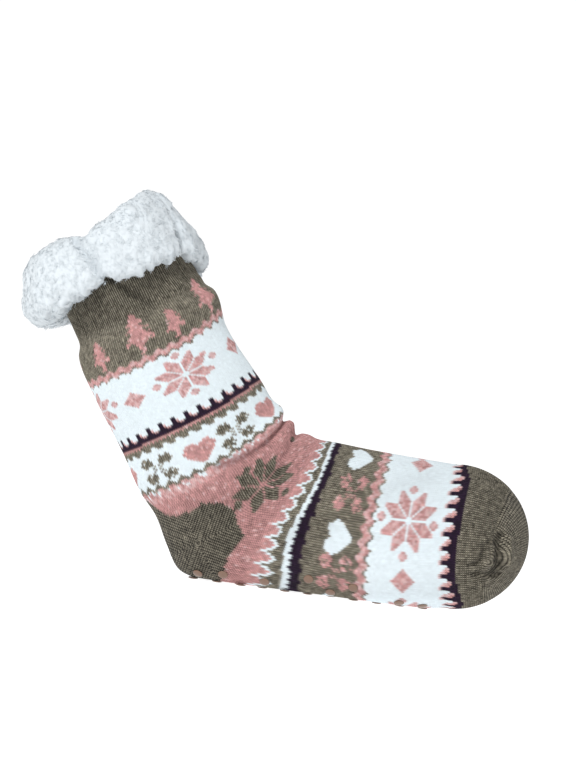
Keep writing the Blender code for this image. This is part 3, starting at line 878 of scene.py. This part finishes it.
def sheet_points(station, turn, wale, number, column):
    """Points of the knit's face, and the height of the folds and creases alone."""
    course = np.clip(number.astype(int), 0, COURSE_COUNT - 1)
    in_heel = HEEL_SEEN[course, wale.astype(int) % WALES]
    plain = np.clip(1.0 - past_seam(station, wale) / SEAM_SOFTNESS, 0.0, 1.0)
    plain = plain * np.where(in_heel, HEEL_RELIEF, 1.0)
    folds = fold_relief(station, turn)
    folds = folds + drawn_relief(station * 1000, wale, CREASES, (1.0, WALE_WIDTH))
    step = POCKET_STEP * np.clip((station - TOE_STATION) / POCKET_EDGE + 0.5, 0.0, 1.0)
    relief = np.maximum(folds, DEEPEST) + step
    relief += RELIEF_ACROSS[column % COLUMNS_IN_WALE] * groove_at(station) * plain
    points = shell(station, turn, relief)
    points[:, 2] = np.maximum(points[:, 2], SOLE_PLANE)
    return points, folds


# %% Shade of a sheet
CREASE_SHADE = 75.0  # how much a metre of crease darkens the yarn, for the light lost between folds
# the most painted shade in a trough, and the most painted light on a ridge
CREASE_SHADES = (-0.55, 0.06)
# the heel pocket's stitches keep this share of their colour; the seam's stitches are this much paler
HEEL_DARKENING, SEAM_SHADE = 0.72, 1.4
SEAM_LINE = 0.0006
SEAM_MIDDLE, SEAM_REACH = 29, 16  # wales from the middle of the instep


def sheet_shade(station, wale, folds):
    """Painted shade in creases, painted light on ridges, and the paler line of the toe's linked seam."""
    shade = 1.0 + np.clip(folds * CREASE_SHADE, *CREASE_SHADES)
    on_seam = np.abs(np.abs(wale - WALES / 2) - SEAM_MIDDLE) < SEAM_REACH
    seam = np.exp(-((past_seam(station, wale) / SEAM_LINE) ** 2)) * on_seam
    return shade * (1.0 + (SEAM_SHADE - 1.0) * seam)


# %% Make one sheet of knitting
def knit_sheet(name, first, last, material, fine=1):
    """The courses from first to last as one piece, all the way round, in so many rows a course."""
    rows, columns = (last - first) * fine, WALES * COLUMNS_IN_WALE
    bm, verts, column, row = numbered_grid(columns, rows)
    station, turn, wale, number = sheet_places(first, rows, columns, fine, column, row)
    points, folds = sheet_points(station, turn, wale, number, column)
    for vert, point in zip(verts, points):
        vert.co = point
    shade = sheet_shade(station, wale, folds)
    cap = past_seam(station, wale)
    plain_map = np.stack([wale, number], axis=1)
    toe_map, heel_map = toe_rings(station, turn), heel_rings(points)
    stitch_map = bm.loops.layers.uv.new("stitches")
    colour = bm.loops.layers.float_color.new("yarn")
    index = {v: i for i, v in enumerate(verts)}
    for face in bm.faces:
        corners = [index[v] for v in face.verts]
        left, top = int(column[corners].min()), int(row[corners].min())
        cell = (first + top // fine, left // COLUMNS_IN_WALE % WALES)
        own = STITCHES[cell] * (1 - SOFT_EDGE)
        chosen = plain_map
        if cap[corners].mean() > 0:
            chosen = toe_map
        elif HEEL_SEEN[cell]:
            chosen = heel_map
        for loop, corner in zip(face.loops, corners):
            loop[stitch_map].uv = chosen[corner]
            paint = own + CORNERS[round(number[corner] * 2), column[corner]] * SOFT_EDGE
            # dimmed: painted shade of the creases, times the darker heel pocket
            dimmed = shade[corner] * (HEEL_DARKENING if HEEL_SEEN[cell] else 1.0)
            # the alpha carries the strength of the painted shade in the gaps
            loop[colour] = (*(paint[:3] * dimmed), paint[3])
    close_seams(bm)
    return finish_piece(name, bm, material)


# %% [markdown]
# ## Loops of yarn in the shader
# The node group reads the stitch map. The fraction of the wale number tells how far a point is from
# the furrow, and the fraction of the course number, shifted along the V, tells where it is on its
# loop. It gives a height for bump, and masks for the furrows and for the holes between the loops,
# where the material paints shade. A woven texture on Object coordinates would be quicker to set up,
# but it wouldn't turn with the sock.


# %% Node helpers
def add_node(tree, kind, at=(0, 0), **settings):
    """A node of this kind at a place in the editor, with its own settings."""
    node = tree.nodes.new(kind)
    node.location = at
    for key, value in settings.items():
        setattr(node, key, value)
    return node


def math_node(tree, operation, *operands):
    """The output of a Math node, fed by numbers and by other outputs."""
    node = add_node(tree, "ShaderNodeMath", operation=operation)
    for socket, value in zip(node.inputs, operands):
        if isinstance(value, (int, float)):
            socket.default_value = value
        else:
            tree.links.new(value, socket)
    return node.outputs[0]


# %% Material helpers
BUMP_DISTANCE = 0.0006


def start_material(name, **constants):
    """A material, its node tree and its shader, with constant values on the shader's own sockets."""
    material = bpy.data.materials.new(name)
    material.use_nodes = True
    tree = material.node_tree
    shader = tree.nodes["Principled BSDF"]
    for socket, value in constants.items():
        shader.inputs[socket.replace("_", " ")].default_value = value
    return material, tree, shader


def fibre_noise(tree, scale, detail, distortion=0.0):
    """Noise on Object coordinates, in the size of single fibres or curls."""
    place = add_node(tree, "ShaderNodeTexCoord", (-1100, -350))
    fibres = add_node(tree, "ShaderNodeTexNoise", (-900, -350))
    for socket, value in (("Scale", scale), ("Detail", detail), ("Distortion", distortion)):
        fibres.inputs[socket].default_value = value
    tree.links.new(place.outputs["Object"], fibres.inputs["Vector"])
    return fibres.outputs["Fac"]


def add_bump(tree, shader, height, strength):
    """Turn a height into the shader's normal."""
    bump = add_node(tree, "ShaderNodeBump", (-300, -300))
    bump.inputs["Strength"].default_value = strength
    bump.inputs["Distance"].default_value = BUMP_DISTANCE
    tree.links.new(height, bump.inputs["Height"])
    tree.links.new(bump.outputs["Normal"], shader.inputs["Normal"])


# %% Stitch node group
LEG_FULLNESS, LOOP_FULLNESS = 0.6, 0.5  # less than 1 makes the yarn rounder and the gaps narrower
FURROW_SHARPNESS, HOLE_SHARPNESS = 1.7, 0.8


def stitch_group():
    """Shape of one loop of yarn, from the stitch map, and masks where shade is painted in its gaps."""
    tree = bpy.data.node_groups.new("stitch_loops", "ShaderNodeTree")
    for name in ("Height", "Furrow", "Hole"):
        tree.interface.new_socket(name, in_out="OUTPUT", socket_type="NodeSocketFloat")
    out = add_node(tree, "NodeGroupOutput", (900, 0))
    uv = add_node(tree, "ShaderNodeUVMap", (-900, 0), uv_map="stitches")
    split = add_node(tree, "ShaderNodeSeparateXYZ", (-700, 0))
    tree.links.new(uv.outputs["UV"], split.inputs[0])
    across = math_node(tree, "FRACT", split.outputs["X"])
    side = math_node(tree, "ABSOLUTE", math_node(tree, "MULTIPLY_ADD", across, 2.0, -1.0))
    along = math_node(tree, "FRACT", math_node(tree, "MULTIPLY_ADD", side, 0.5, split.outputs["Y"]))
    leg = math_node(tree, "SINE", math_node(tree, "MULTIPLY", side, math.pi))
    loop = math_node(tree, "SINE", math_node(tree, "MULTIPLY", along, math.pi))
    leg = math_node(tree, "POWER", math_node(tree, "MAXIMUM", leg, 0.0), LEG_FULLNESS)
    loop = math_node(tree, "POWER", math_node(tree, "MAXIMUM", loop, 0.0), LOOP_FULLNESS)
    height = math_node(tree, "MULTIPLY", leg, math_node(tree, "MULTIPLY_ADD", loop, 0.5, 0.5))
    furrow = math_node(tree, "POWER", side, FURROW_SHARPNESS)
    hole = math_node(tree, "POWER", math_node(tree, "SUBTRACT", 1.0, loop), HOLE_SHARPNESS)
    for name, value in (("Height", height), ("Furrow", furrow), ("Hole", hole)):
        tree.links.new(value, out.inputs[name])
    return tree


STITCH_LOOPS = stitch_group()
print(len(STITCH_LOOPS.nodes), "nodes shape a stitch")

# %% Knit material
SHADED_FURROW_START = 0.62  # strength of the painted shade in the gaps from which the furrows get painted shade too
# painted shade in the furrows, and the most painted shade that gaps and furrows get together
FURROW_SHADE, DEEPEST_SHADE = 1.3, 0.92
YARN_LIGHT, FIBRE_LIGHT = 0.88, 0.24
FIBRE_HEIGHT = 0.25


def knit_material():
    """The yarn's colour with painted shade in its gaps and furrows, a matt finish and fibres standing out.
    """
    material, tree, shader = start_material(
        "stranded_knit", Roughness=0.92, Specular_IOR_Level=0.15, Sheen_Weight=0.06, Sheen_Roughness=0.5
    )
    stitches = add_node(tree, "ShaderNodeGroup", (-900, 200), node_tree=STITCH_LOOPS)
    yarn = add_node(tree, "ShaderNodeAttribute", (-900, -100), attribute_name="yarn")
    fibres = fibre_noise(tree, 1900.0, 3.0)
    # painted shade: darkens the holes between the loops and, in yarns with strong painted shade, the
    # furrows
    gap = yarn.outputs["Alpha"]
    furrow = math_node(tree, "MAXIMUM", math_node(tree, "SUBTRACT", gap, SHADED_FURROW_START), 0.0)
    furrow = math_node(tree, "MULTIPLY", furrow, FURROW_SHADE)
    furrow = math_node(tree, "MULTIPLY", furrow, stitches.outputs["Furrow"])
    hole = math_node(tree, "MULTIPLY", gap, stitches.outputs["Hole"])
    painted_gap_shade = math_node(tree, "MINIMUM", math_node(tree, "ADD", hole, furrow), DEEPEST_SHADE)
    light = math_node(tree, "MULTIPLY_ADD", fibres, FIBRE_LIGHT, YARN_LIGHT)
    tone = math_node(tree, "MULTIPLY", math_node(tree, "SUBTRACT", 1.0, painted_gap_shade), light)
    paint = add_node(tree, "ShaderNodeVectorMath", (-300, 100), operation="SCALE")
    tree.links.new(yarn.outputs["Color"], paint.inputs[0])
    tree.links.new(tone, paint.inputs["Scale"])
    tree.links.new(paint.outputs[0], shader.inputs["Base Color"])
    height = math_node(tree, "MULTIPLY_ADD", fibres, FIBRE_HEIGHT, stitches.outputs["Height"])
    add_bump(tree, shader, height, 0.9)
    return material


KNIT = knit_material()
print("the knit's material has", len(KNIT.node_tree.nodes), "nodes")

# %% [markdown]
# The rib, the leg, the foot and the toe are sheets of their own. Each one's last row of vertices lies
# where the next one's first row lies. The toe's end curves most, so it has two rows to a course.

# %% Knit the sock
limits = np.cumsum([0] + [zone.courses for zone in ZONES])
for zone, first, last in zip(ZONES, limits, limits[1:]):
    fine = 2 if zone.name == "toe" else 1
    sheet = knit_sheet(f"knit_{zone.name}", int(first), int(last), KNIT, fine)
    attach(sheet, "root")
    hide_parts("knit_upper")

# %% [markdown]
# ## The fleece cuff
# The cuff is long-pile fleece turned down over the knit. Its curly pile gathers in small clumps. The
# cuff is first a smooth roll that follows the table of how it lies, then each clump swells the surface
# as a small dome, and short curls of pile grow from every clump. Hair particles could grow the pile
# as well, but curls made as a mesh are part of the piece itself.

# %% How the cuff lies
CUFF_DROP = 0.047
CUFF_RISE = 0.014
CUFF_BULGE_BACK = 0.0225
CUFF_BULGE_FRONT = 0.0135
CUFF_WALL = 0.0075
CUFF_SEAT = 0.026
# At each turn, in degrees: how far the hem is drawn up and the top raised, as shares of the drop, and
# how far the cuff stands off and how full its upper half is, as shares of the bulge.
CuffPlace = namedtuple("CuffPlace", "turn hem top bulge crown")
CUFF_LIE = (
    CuffPlace(0, 0.33, -0.05, 1.12, 0.66),
    CuffPlace(25, 0.38, 0.01, 1.06, 0.72),
    CuffPlace(50, 0.45, 0.05, 0.92, 0.90),
    CuffPlace(64, 0.47, 0.01, 0.84, 0.90),
    CuffPlace(78, 0.55, -0.08, 0.60, 0.90),
    CuffPlace(92, 0.42, 0.00, 0.92, 0.90),
    CuffPlace(120, 0.38, 0.09, 1.05, 0.85),
    CuffPlace(145, 0.38, 0.13, 0.95, 0.70),
    CuffPlace(165, 0.22, 0.02, 0.90, 0.55),
    CuffPlace(180, 0.08, -0.12, 0.92, 0.50),
    CuffPlace(215, 0.04, 0.02, 1.00, 0.65),
    CuffPlace(250, 0.16, 0.04, 1.05, 0.85),
    CuffPlace(278, 0.30, -0.07, 0.66, 0.90),
    CuffPlace(305, 0.22, 0.03, 0.95, 0.92),
    CuffPlace(335, 0.26, 0.01, 1.04, 0.72),
    CuffPlace(360, 0.33, -0.05, 1.12, 0.66),
)


def cuff_lie(turn):
    """The columns of CUFF_LIE after the first, read smoothly at each turn."""
    places = np.array(CUFF_LIE, float)
    degrees = np.degrees(turn) % 360
    cell = np.clip(np.searchsorted(places[:, 0], degrees, side="right") - 1, 0, len(places) - 2)
    t = (degrees - places[cell, 0]) / (places[cell + 1, 0] - places[cell, 0])
    t = t * t * (3 - 2 * t)
    return places[cell, 1:] * (1 - t)[:, None] + places[cell + 1, 1:] * t[:, None]


# %% Section of the cuff
def cuff_point(turn, out, rise):
    """A point this far out from the knit, and this far above its top edge or, if negative, below it."""
    below = np.clip(-rise, 0.0, None)
    up = np.array([-math.sin(LEG_LEAN), 0.0, math.cos(LEG_LEAN)])
    return shell(below, turn, out) + up * np.clip(rise, 0.0, None)[..., None]


HemCurl = namedtuple("HemCurl", "height count start")  # count is how many go round the hem
HEM_CURLS = (HemCurl(0.0010, 41, 0.0), HemCurl(0.0009, 27, 1.0), HemCurl(0.0008, 13, 0.0))


def cuff_profile(turn):
    """The cuff's section at each turn, from under the hem, up the outside and down into the collar."""
    hem, top, bulge, crown = cuff_lie(turn).T
    front = (1 - np.cos(turn)) / 2
    stand = (CUFF_BULGE_BACK * (1 - front) + CUFF_BULGE_FRONT * front) * bulge
    scallop = sum(curl.height * np.sin(turn * curl.count + curl.start) for curl in HEM_CURLS)
    low = -CUFF_DROP * (1 - hem) + scallop
    high = CUFF_RISE + CUFF_DROP * top
    tall = high - low
    even = np.ones_like(turn)
    inner = -(KNIT_WALL + CLEARANCE + FLEECE_WALL) * even
    outline = [
        (CLEARANCE * even, low + CUFF_WALL * 0.9),
        (CLEARANCE * even, low + CUFF_WALL * 0.35),
        (stand * 0.35, low),
        (stand * 0.72, low + tall * 0.03),
        (stand * 0.92, low + tall * 0.13),
        (stand * 0.99, low + tall * 0.27),
        (stand * (0.85 + 0.15 * crown), low + tall * 0.42),
        (stand * (0.55 + 0.42 * crown), low + tall * 0.57),
        (stand * (0.25 + 0.68 * crown), low + tall * 0.72),
        (stand * (0.08 + 0.70 * crown), low + tall * 0.86),
        (stand * 0.50 * crown, low + tall * 0.96),
        (stand * 0.14 * crown, high),
        (inner * 0.45, high - tall * 0.03),
        (inner * 0.95, high - tall * 0.12),
        (inner * 1.15, high - tall * 0.24),
        (inner, low * 0.30),
        (inner, -CUFF_SEAT * even),
    ]
    return np.array(outline)


def smooth_rows(corners, rows):
    """A smooth curve through the corners, read at evenly spaced rows."""
    reach = np.linspace(0, len(corners) - 1, rows)
    cell = np.minimum(reach.astype(int), len(corners) - 2)
    t = (reach - cell)[:, None, None]
    past_start = 2 * corners[:1] - corners[1:2]
    past_end = 2 * corners[-1:] - corners[-2:-1]
    padded = np.concatenate([past_start, corners, past_end])
    before, start, end, after = (padded[cell + i] for i in range(4))
    bend = (2 * before - 5 * start + 4 * end - after) * t**2
    twist = (3 * start - before - 3 * end + after) * t**3
    return 0.5 * (2 * start + (end - before) * t + bend + twist)


# %% [markdown]
# The fleece is seamed at both sides, and it folds where it turns over the collar's front. These lines
# are drawn as the knit's creases are, here as a turn in degrees and a share of the way up the
# cuff's outside.

# %% Cuff creases
CUFF_CREASES = (
    Crease("seam", -0.0050, 2.2, ((79, 0.0), (77, 0.3), (75, 0.65), (69, 0.98))),
    Crease("seam behind", -0.0036, 2.6, ((272, 0.0), (276, 0.5), (280, 0.95))),
    Crease("stitch line", -0.0014, 1.8, ((8, 0.22), (30, 0.27), (50, 0.42))),
    Crease("soft fold", -0.0016, 3.4, ((40, 0.12), (52, 0.28), (60, 0.45))),
    Crease("soft fold", -0.0014, 3.6, ((100, 0.45), (125, 0.40), (150, 0.50))),
    Crease("front tuck", -0.0085, 2.6, ((138, -0.02), (145, 0.35), (151, 0.6), (158, 0.92))),
)
CUFF_SCALE = (0.85, 60)  # millimetres to a degree round the cuff, and up its whole outside
print(len(CUFF_CREASES), "creases on the cuff")

# %% Surface of the smooth cuff
CUFF_COLUMNS, CUFF_ROWS = 330, 96
OUTSIDE_ROWS = 11 / 16  # share of the rows that lie outside the collar
LAST_SHARE = 1.3  # all the rows further inside count as this one for the creases


def cuff_grid(columns, rows):
    """Points and normals of the smooth cuff, with its drawn creases."""
    turns = np.arange(columns) / columns * 2 * math.pi
    profile = smooth_rows(cuff_profile(turns), rows)
    share = np.clip(np.linspace(0, 1, rows) / OUTSIDE_ROWS, 0, LAST_SHARE)
    turn = np.broadcast_to(turns, (rows, columns))
    points = cuff_point(turn, profile[:, 0], profile[:, 1])
    ahead = np.gradient(points, axis=0)
    aside = np.roll(points, -1, axis=1) - np.roll(points, 1, axis=1)
    normal = np.cross(aside, ahead)
    normal /= np.linalg.norm(normal, axis=-1, keepdims=True)
    middle, outside = points.mean(axis=(0, 1)), rows // 4
    if np.mean(np.sum((points[outside] - middle) * normal[outside], axis=-1)) < 0:
        normal = -normal
    share = np.broadcast_to(share[:, None], turn.shape)
    relief = drawn_relief(np.degrees(turn), share, CUFF_CREASES, CUFF_SCALE)
    return points + normal * relief[..., None], normal


cuff_points, cuff_normals = cuff_grid(CUFF_COLUMNS, CUFF_ROWS)
flat_points, flat_normals = cuff_points.reshape(-1, 3), cuff_normals.reshape(-1, 3)
print(len(flat_points), "points on the smooth cuff")

# %% Places of the clumps
CLUMP_SPACING = 0.0031


def scatter(points, spacing, seed):
    """Numbers of grid points picked so that no two are closer than the spacing."""
    order = np.random.default_rng(seed).permutation(len(points))
    cells, chosen = {}, []
    for i in order:
        key = tuple((points[i] // spacing).astype(int))
        near = (
            j
            for a in (-1, 0, 1)
            for b in (-1, 0, 1)
            for c in (-1, 0, 1)
            for j in cells.get((key[0] + a, key[1] + b, key[2] + c), ())
        )
        if all(np.sum((points[i] - points[j]) ** 2) > spacing**2 for j in near):
            cells.setdefault(key, []).append(i)
            chosen.append(i)
    return np.array(chosen)


seeds = scatter(flat_points, CLUMP_SPACING, 5)
tree_of_clumps = kdtree.KDTree(len(seeds))
for number, seed in enumerate(seeds):
    tree_of_clumps.insert(flat_points[seed], number)
tree_of_clumps.balance()
print(len(seeds), "clumps of pile")


# %% Swell of the fleece
CLUMP_REACH = 0.0024
CLUMP_HEIGHT, CLUMP_FOOT = 0.0004, -0.5  # a dome's height, and how far below it the fleece falls
UNEVENNESS, LUMPS_IN_METRE = 0.0014, 140.0


def swell(points):
    """Height of the clumps and of the fleece's soft unevenness at each point."""
    heights = np.empty(len(points))
    for i, point in enumerate(points):
        near = tree_of_clumps.find(point)[2]
        dome = 1.0 - (near / CLUMP_REACH) ** 2
        soft = noise.noise(Vector(point) * LUMPS_IN_METRE)
        heights[i] = CLUMP_HEIGHT * max(dome, CLUMP_FOOT) + UNEVENNESS * soft
    return heights


fleece_tops = flat_points + flat_normals * swell(flat_points)[:, None]
print("the swollen cuff is", round(float(np.ptp(fleece_tops[:, 1])) * 1000, 1), "mm across")

# %% Fleece material
# colours of the fibre noise: painted shade between the fibres where it is low
FLEECE_TONES = ((0.25, (0.59, 0.635, 0.665, 1.0)), (0.65, (0.61, 0.655, 0.685, 1.0)))


def fleece_material():
    """A cool white, a little darker between the fibres as painted shade, with hardly any gloss."""
    material, tree, shader = start_material(
        "white_fleece", Roughness=1.0, Specular_IOR_Level=0.1, Sheen_Weight=0.1, Sheen_Roughness=0.6
    )
    curls = fibre_noise(tree, 900.0, 4.0, 1.2)
    ramp = add_node(tree, "ShaderNodeValToRGB", (-600, 0))
    for stop, (position, colour) in zip(ramp.color_ramp.elements, FLEECE_TONES):
        stop.position = position
        stop.color = colour
    tree.links.new(curls, ramp.inputs["Fac"])
    tree.links.new(ramp.outputs["Color"], shader.inputs["Base Color"])
    add_bump(tree, shader, curls, 0.2)
    return material


FLEECE = fleece_material()


# %% Make the cuff
def make_cuff():
    bm, verts, column, row = numbered_grid(CUFF_COLUMNS, CUFF_ROWS - 1)
    for vert, point in zip(verts, fleece_tops[row * CUFF_COLUMNS + column % CUFF_COLUMNS]):
        vert.co = point
    close_seams(bm)
    return finish_piece("cuff_fleece", bm, FLEECE)


cuff = make_cuff()
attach(cuff, "root")
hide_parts("fleece_cuff")

# %% [markdown]
# The pile itself is thousands of short curls. One curl is a narrow ribbon of three faces, and arrays
# lay it down again and again, because a call of a bmesh operator for each of them would be slow. Each
# curl starts near the middle of its clump, rises a little and bends over, much the same way in the
# whole clump.

# %% One ribbon, many times
CURL_STEPS = np.array((0.0, 0.34, 0.68, 1.0))  # share of a curl's length at its four pairs of points
CURL_NARROW = np.array((1.0, 0.95, 0.7, 0.15))  # share of its width there
CURL_LIFT, LIFT_ANGLE = 0.26, 1.9
CURL_SWAY, SWAY_ANGLE = 0.62, 2.3


def curl_mesh(name, roots, normals, leans, lengths, widths):
    """Narrow ribbons joined as one mesh, from the roots of the curls."""
    lift = np.sin(CURL_STEPS * LIFT_ANGLE)[None, :, None]
    sway = ((1 - np.cos(CURL_STEPS * SWAY_ANGLE)) * CURL_SWAY)[None, :, None]
    bent = normals[:, None] * lift * CURL_LIFT + leans[:, None] * sway
    path = roots[:, None] + lengths[:, None, None] * bent
    across = np.cross(normals, leans)
    across /= np.maximum(np.linalg.norm(across, axis=1, keepdims=True), 1e-9)
    half = across[:, None] * (widths[:, None] * CURL_NARROW[None, :])[..., None] / 2
    verts = np.stack([path - half, path + half], axis=2).reshape(-1, 3)
    first_corners = np.arange(len(roots))[:, None, None] * 8 + np.arange(3)[None, :, None] * 2
    faces = (first_corners + np.array((0, 1, 3, 2))[None, None, :]).reshape(-1, 4)
    mesh = bpy.data.meshes.new(name)
    mesh.from_pydata(verts.tolist(), [], faces.tolist())
    return mesh


# %% Grow the pile
CURLS_IN_CLUMP = 13
ROOT_SPREAD, ROOT_DEPTH = 0.0011, 0.0005
CURL_LENGTHS, CURL_WIDTHS = (0.0014, 0.0027), (0.00038, 0.00060)
PILE_FALL = np.array((0.3, 0.0, -0.9)) * 0.8  # the pile hangs down and a little towards the toe
LEAN_SPREAD = 0.45


def along_surface(ways, normals):
    """The part of each way that lies along the surface."""
    return ways - normals * np.sum(ways * normals, axis=1, keepdims=True)


def grow_pile(name, clumps, seed):
    draws = np.random.default_rng(seed)
    count = len(clumps) * CURLS_IN_CLUMP
    clump = np.repeat(clumps, CURLS_IN_CLUMP)
    normals = flat_normals[clump]
    aside = along_surface(draws.normal(size=(count, 3)) * ROOT_SPREAD, normals)
    roots = fleece_tops[clump] + aside - normals * ROOT_DEPTH
    leans = np.repeat(draws.normal(size=(len(clumps), 3)), CURLS_IN_CLUMP, axis=0)
    leans = along_surface(leans + (PILE_FALL + draws.normal(size=(count, 3)) * LEAN_SPREAD), normals)
    leans /= np.linalg.norm(leans, axis=1, keepdims=True)
    lengths, widths = draws.uniform(*CURL_LENGTHS, count), draws.uniform(*CURL_WIDTHS, count)
    return place_piece(name, curl_mesh(name, roots, normals, leans, lengths, widths), FLEECE)


pile = grow_pile("cuff_pile", seeds, 7)
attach(pile, "root")
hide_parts("fleece_cuff")

# %% [markdown]
# ## The lining
# Inside, the fleece lining keeps its own solid. Its pile is short and pressed flat, and little of it
# shows, so the fleece's material is enough and no curls are grown on it.

# %% Lining
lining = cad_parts["fleece_lining"]
for finish in lining.material_slots:
    finish.material = FLEECE
print("the lining keeps its", len(lining.data.polygons), "faces")

# %% [markdown]
# ## Grip dots
# The dots are drops of soft amber rubber, printed on the sole. Each is a low dome, half a sphere that
# takes its place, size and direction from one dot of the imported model. Domes joined as one piece are
# lighter to handle than 49 objects.

# %% Domed dots
DOT_SEGMENTS, DOT_RINGS = 20, 10
DOT_BASE = -0.05  # the lower half of the sphere is pressed flat here, as a share of the dot's height
AMBER = (0.17, 0.095, 0.06, 1.0)


def rubber_material():
    return start_material(
        "amber_rubber", Base_Color=AMBER, Roughness=0.32, Coat_Weight=0.3, Coat_Roughness=0.2
    )[0]


def add_dome(bm, node):
    """A dome over one dot, which points where the dot is thinnest, and down."""
    corners = np.array([node.matrix_world @ v.co for v in node.data.vertices])
    middle = corners.mean(axis=0)
    way = Vector(np.linalg.svd(corners - middle)[2][2])
    if way.z > 0:
        way.negate()
    radius = np.linalg.norm(corners - middle, axis=1).max()
    thick = (corners - middle) @ np.array(way)
    turn = way.to_track_quat("Z", "Y")
    back = Vector(middle) + way * float(thick.min())
    tall = float(thick.max() - thick.min())
    made = bmesh.ops.create_uvsphere(bm, u_segments=DOT_SEGMENTS, v_segments=DOT_RINGS, radius=1.0)
    for vert in made["verts"]:
        rise = max(vert.co.z, DOT_BASE) * tall
        vert.co = back + turn @ Vector((vert.co.x * radius, vert.co.y * radius, rise))


def make_dots(nodes):
    bm = bmesh.new()
    for node in nodes:
        add_dome(bm, node)
    close_seams(bm)
    return finish_piece("grip_dots", bm, rubber_material())


dot_names = sorted(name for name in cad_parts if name.startswith("grip_dot_"))
dots = make_dots([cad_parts[name] for name in dot_names])
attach(dots, "root")
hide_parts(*dot_names)

# %% [markdown]
# ## Floor, light and camera
# The photo has an even white ground and soft light from the upper left. A pale floor with a glow of its
# own stays as white as that ground, and still takes a faint shadow. The camera looks square at the
# sock's side from far away, rolled by seven and a half degrees as in the photo.

# %% Floor and world
FLOOR_REACH = 60.0
FLOOR_GLOW = 0.92
WHITE_LIGHT = (1.0, 1.0, 1.0, 1.0)
WORLD_LIGHT, WORLD_SEEN = 0.47, 0.60  # the second is added where the camera sees the world itself


def make_floor():
    bm = bmesh.new()
    bmesh.ops.create_grid(bm, x_segments=1, y_segments=1, size=FLOOR_REACH)
    material = start_material(
        "pale_floor",
        Base_Color=(0.5, 0.5, 0.5, 1.0),
        Roughness=1.0,
        Specular_IOR_Level=0.0,
        Emission_Color=WHITE_LIGHT,
        Emission_Strength=FLOOR_GLOW,
    )[0]
    return finish_piece("studio_floor", bm, material)


make_floor()
world = bpy.data.worlds.new("studio")
world.use_nodes = True
bpy.context.scene.world = world
background = world.node_tree.nodes["Background"]
background.inputs["Color"].default_value = WHITE_LIGHT
rays = add_node(world.node_tree, "ShaderNodeLightPath", (-400, 0))
seen = rays.outputs["Is Camera Ray"]
strength = math_node(world.node_tree, "MULTIPLY_ADD", seen, WORLD_SEEN, WORLD_LIGHT)
world.node_tree.links.new(strength, background.inputs["Strength"])
bpy.context.scene.view_settings.view_transform = "Standard"


# %% Lights
def area_light(name, place, target, size, power):
    """A round lamp of this size in metres and power in watts, turned to its target."""
    data = bpy.data.lights.new(name, "AREA")
    data.shape = "DISK"
    data.size = size
    data.energy = power
    light = bpy.data.objects.new(name, data)
    light.location = place
    light.rotation_euler = (Vector(target) - Vector(place)).to_track_quat("-Z", "Y").to_euler()
    bpy.context.scene.collection.objects.link(light)


area_light("key", (-1.0, -1.6, 1.6), (0.02, 0.0, 0.12), 0.9, 37.0)
area_light("fill", (1.2, -1.8, 0.9), (0.02, 0.0, 0.10), 1.6, 7.0)
print("two lamps and the world light the sock")

# %% Camera
CAMERA_DISTANCE = 3.0
CAMERA_X, CAMERA_Z = 0.0308, 0.1385
FRAME_HEIGHT = 0.5184  # what the camera takes in at the sock, over the longer side of the picture
ROLL = math.radians(7.5)
camera_data = bpy.data.cameras.new("camera")
camera_data.lens = camera_data.sensor_width * CAMERA_DISTANCE / FRAME_HEIGHT
camera = bpy.data.objects.new("camera", camera_data)
camera.location = (CAMERA_X, -CAMERA_DISTANCE, CAMERA_Z)
camera.rotation_euler = (math.pi / 2, -ROLL, 0.0)
bpy.context.scene.collection.objects.link(camera)
bpy.context.scene.camera = camera
print("lens", round(camera_data.lens, 1), "mm")
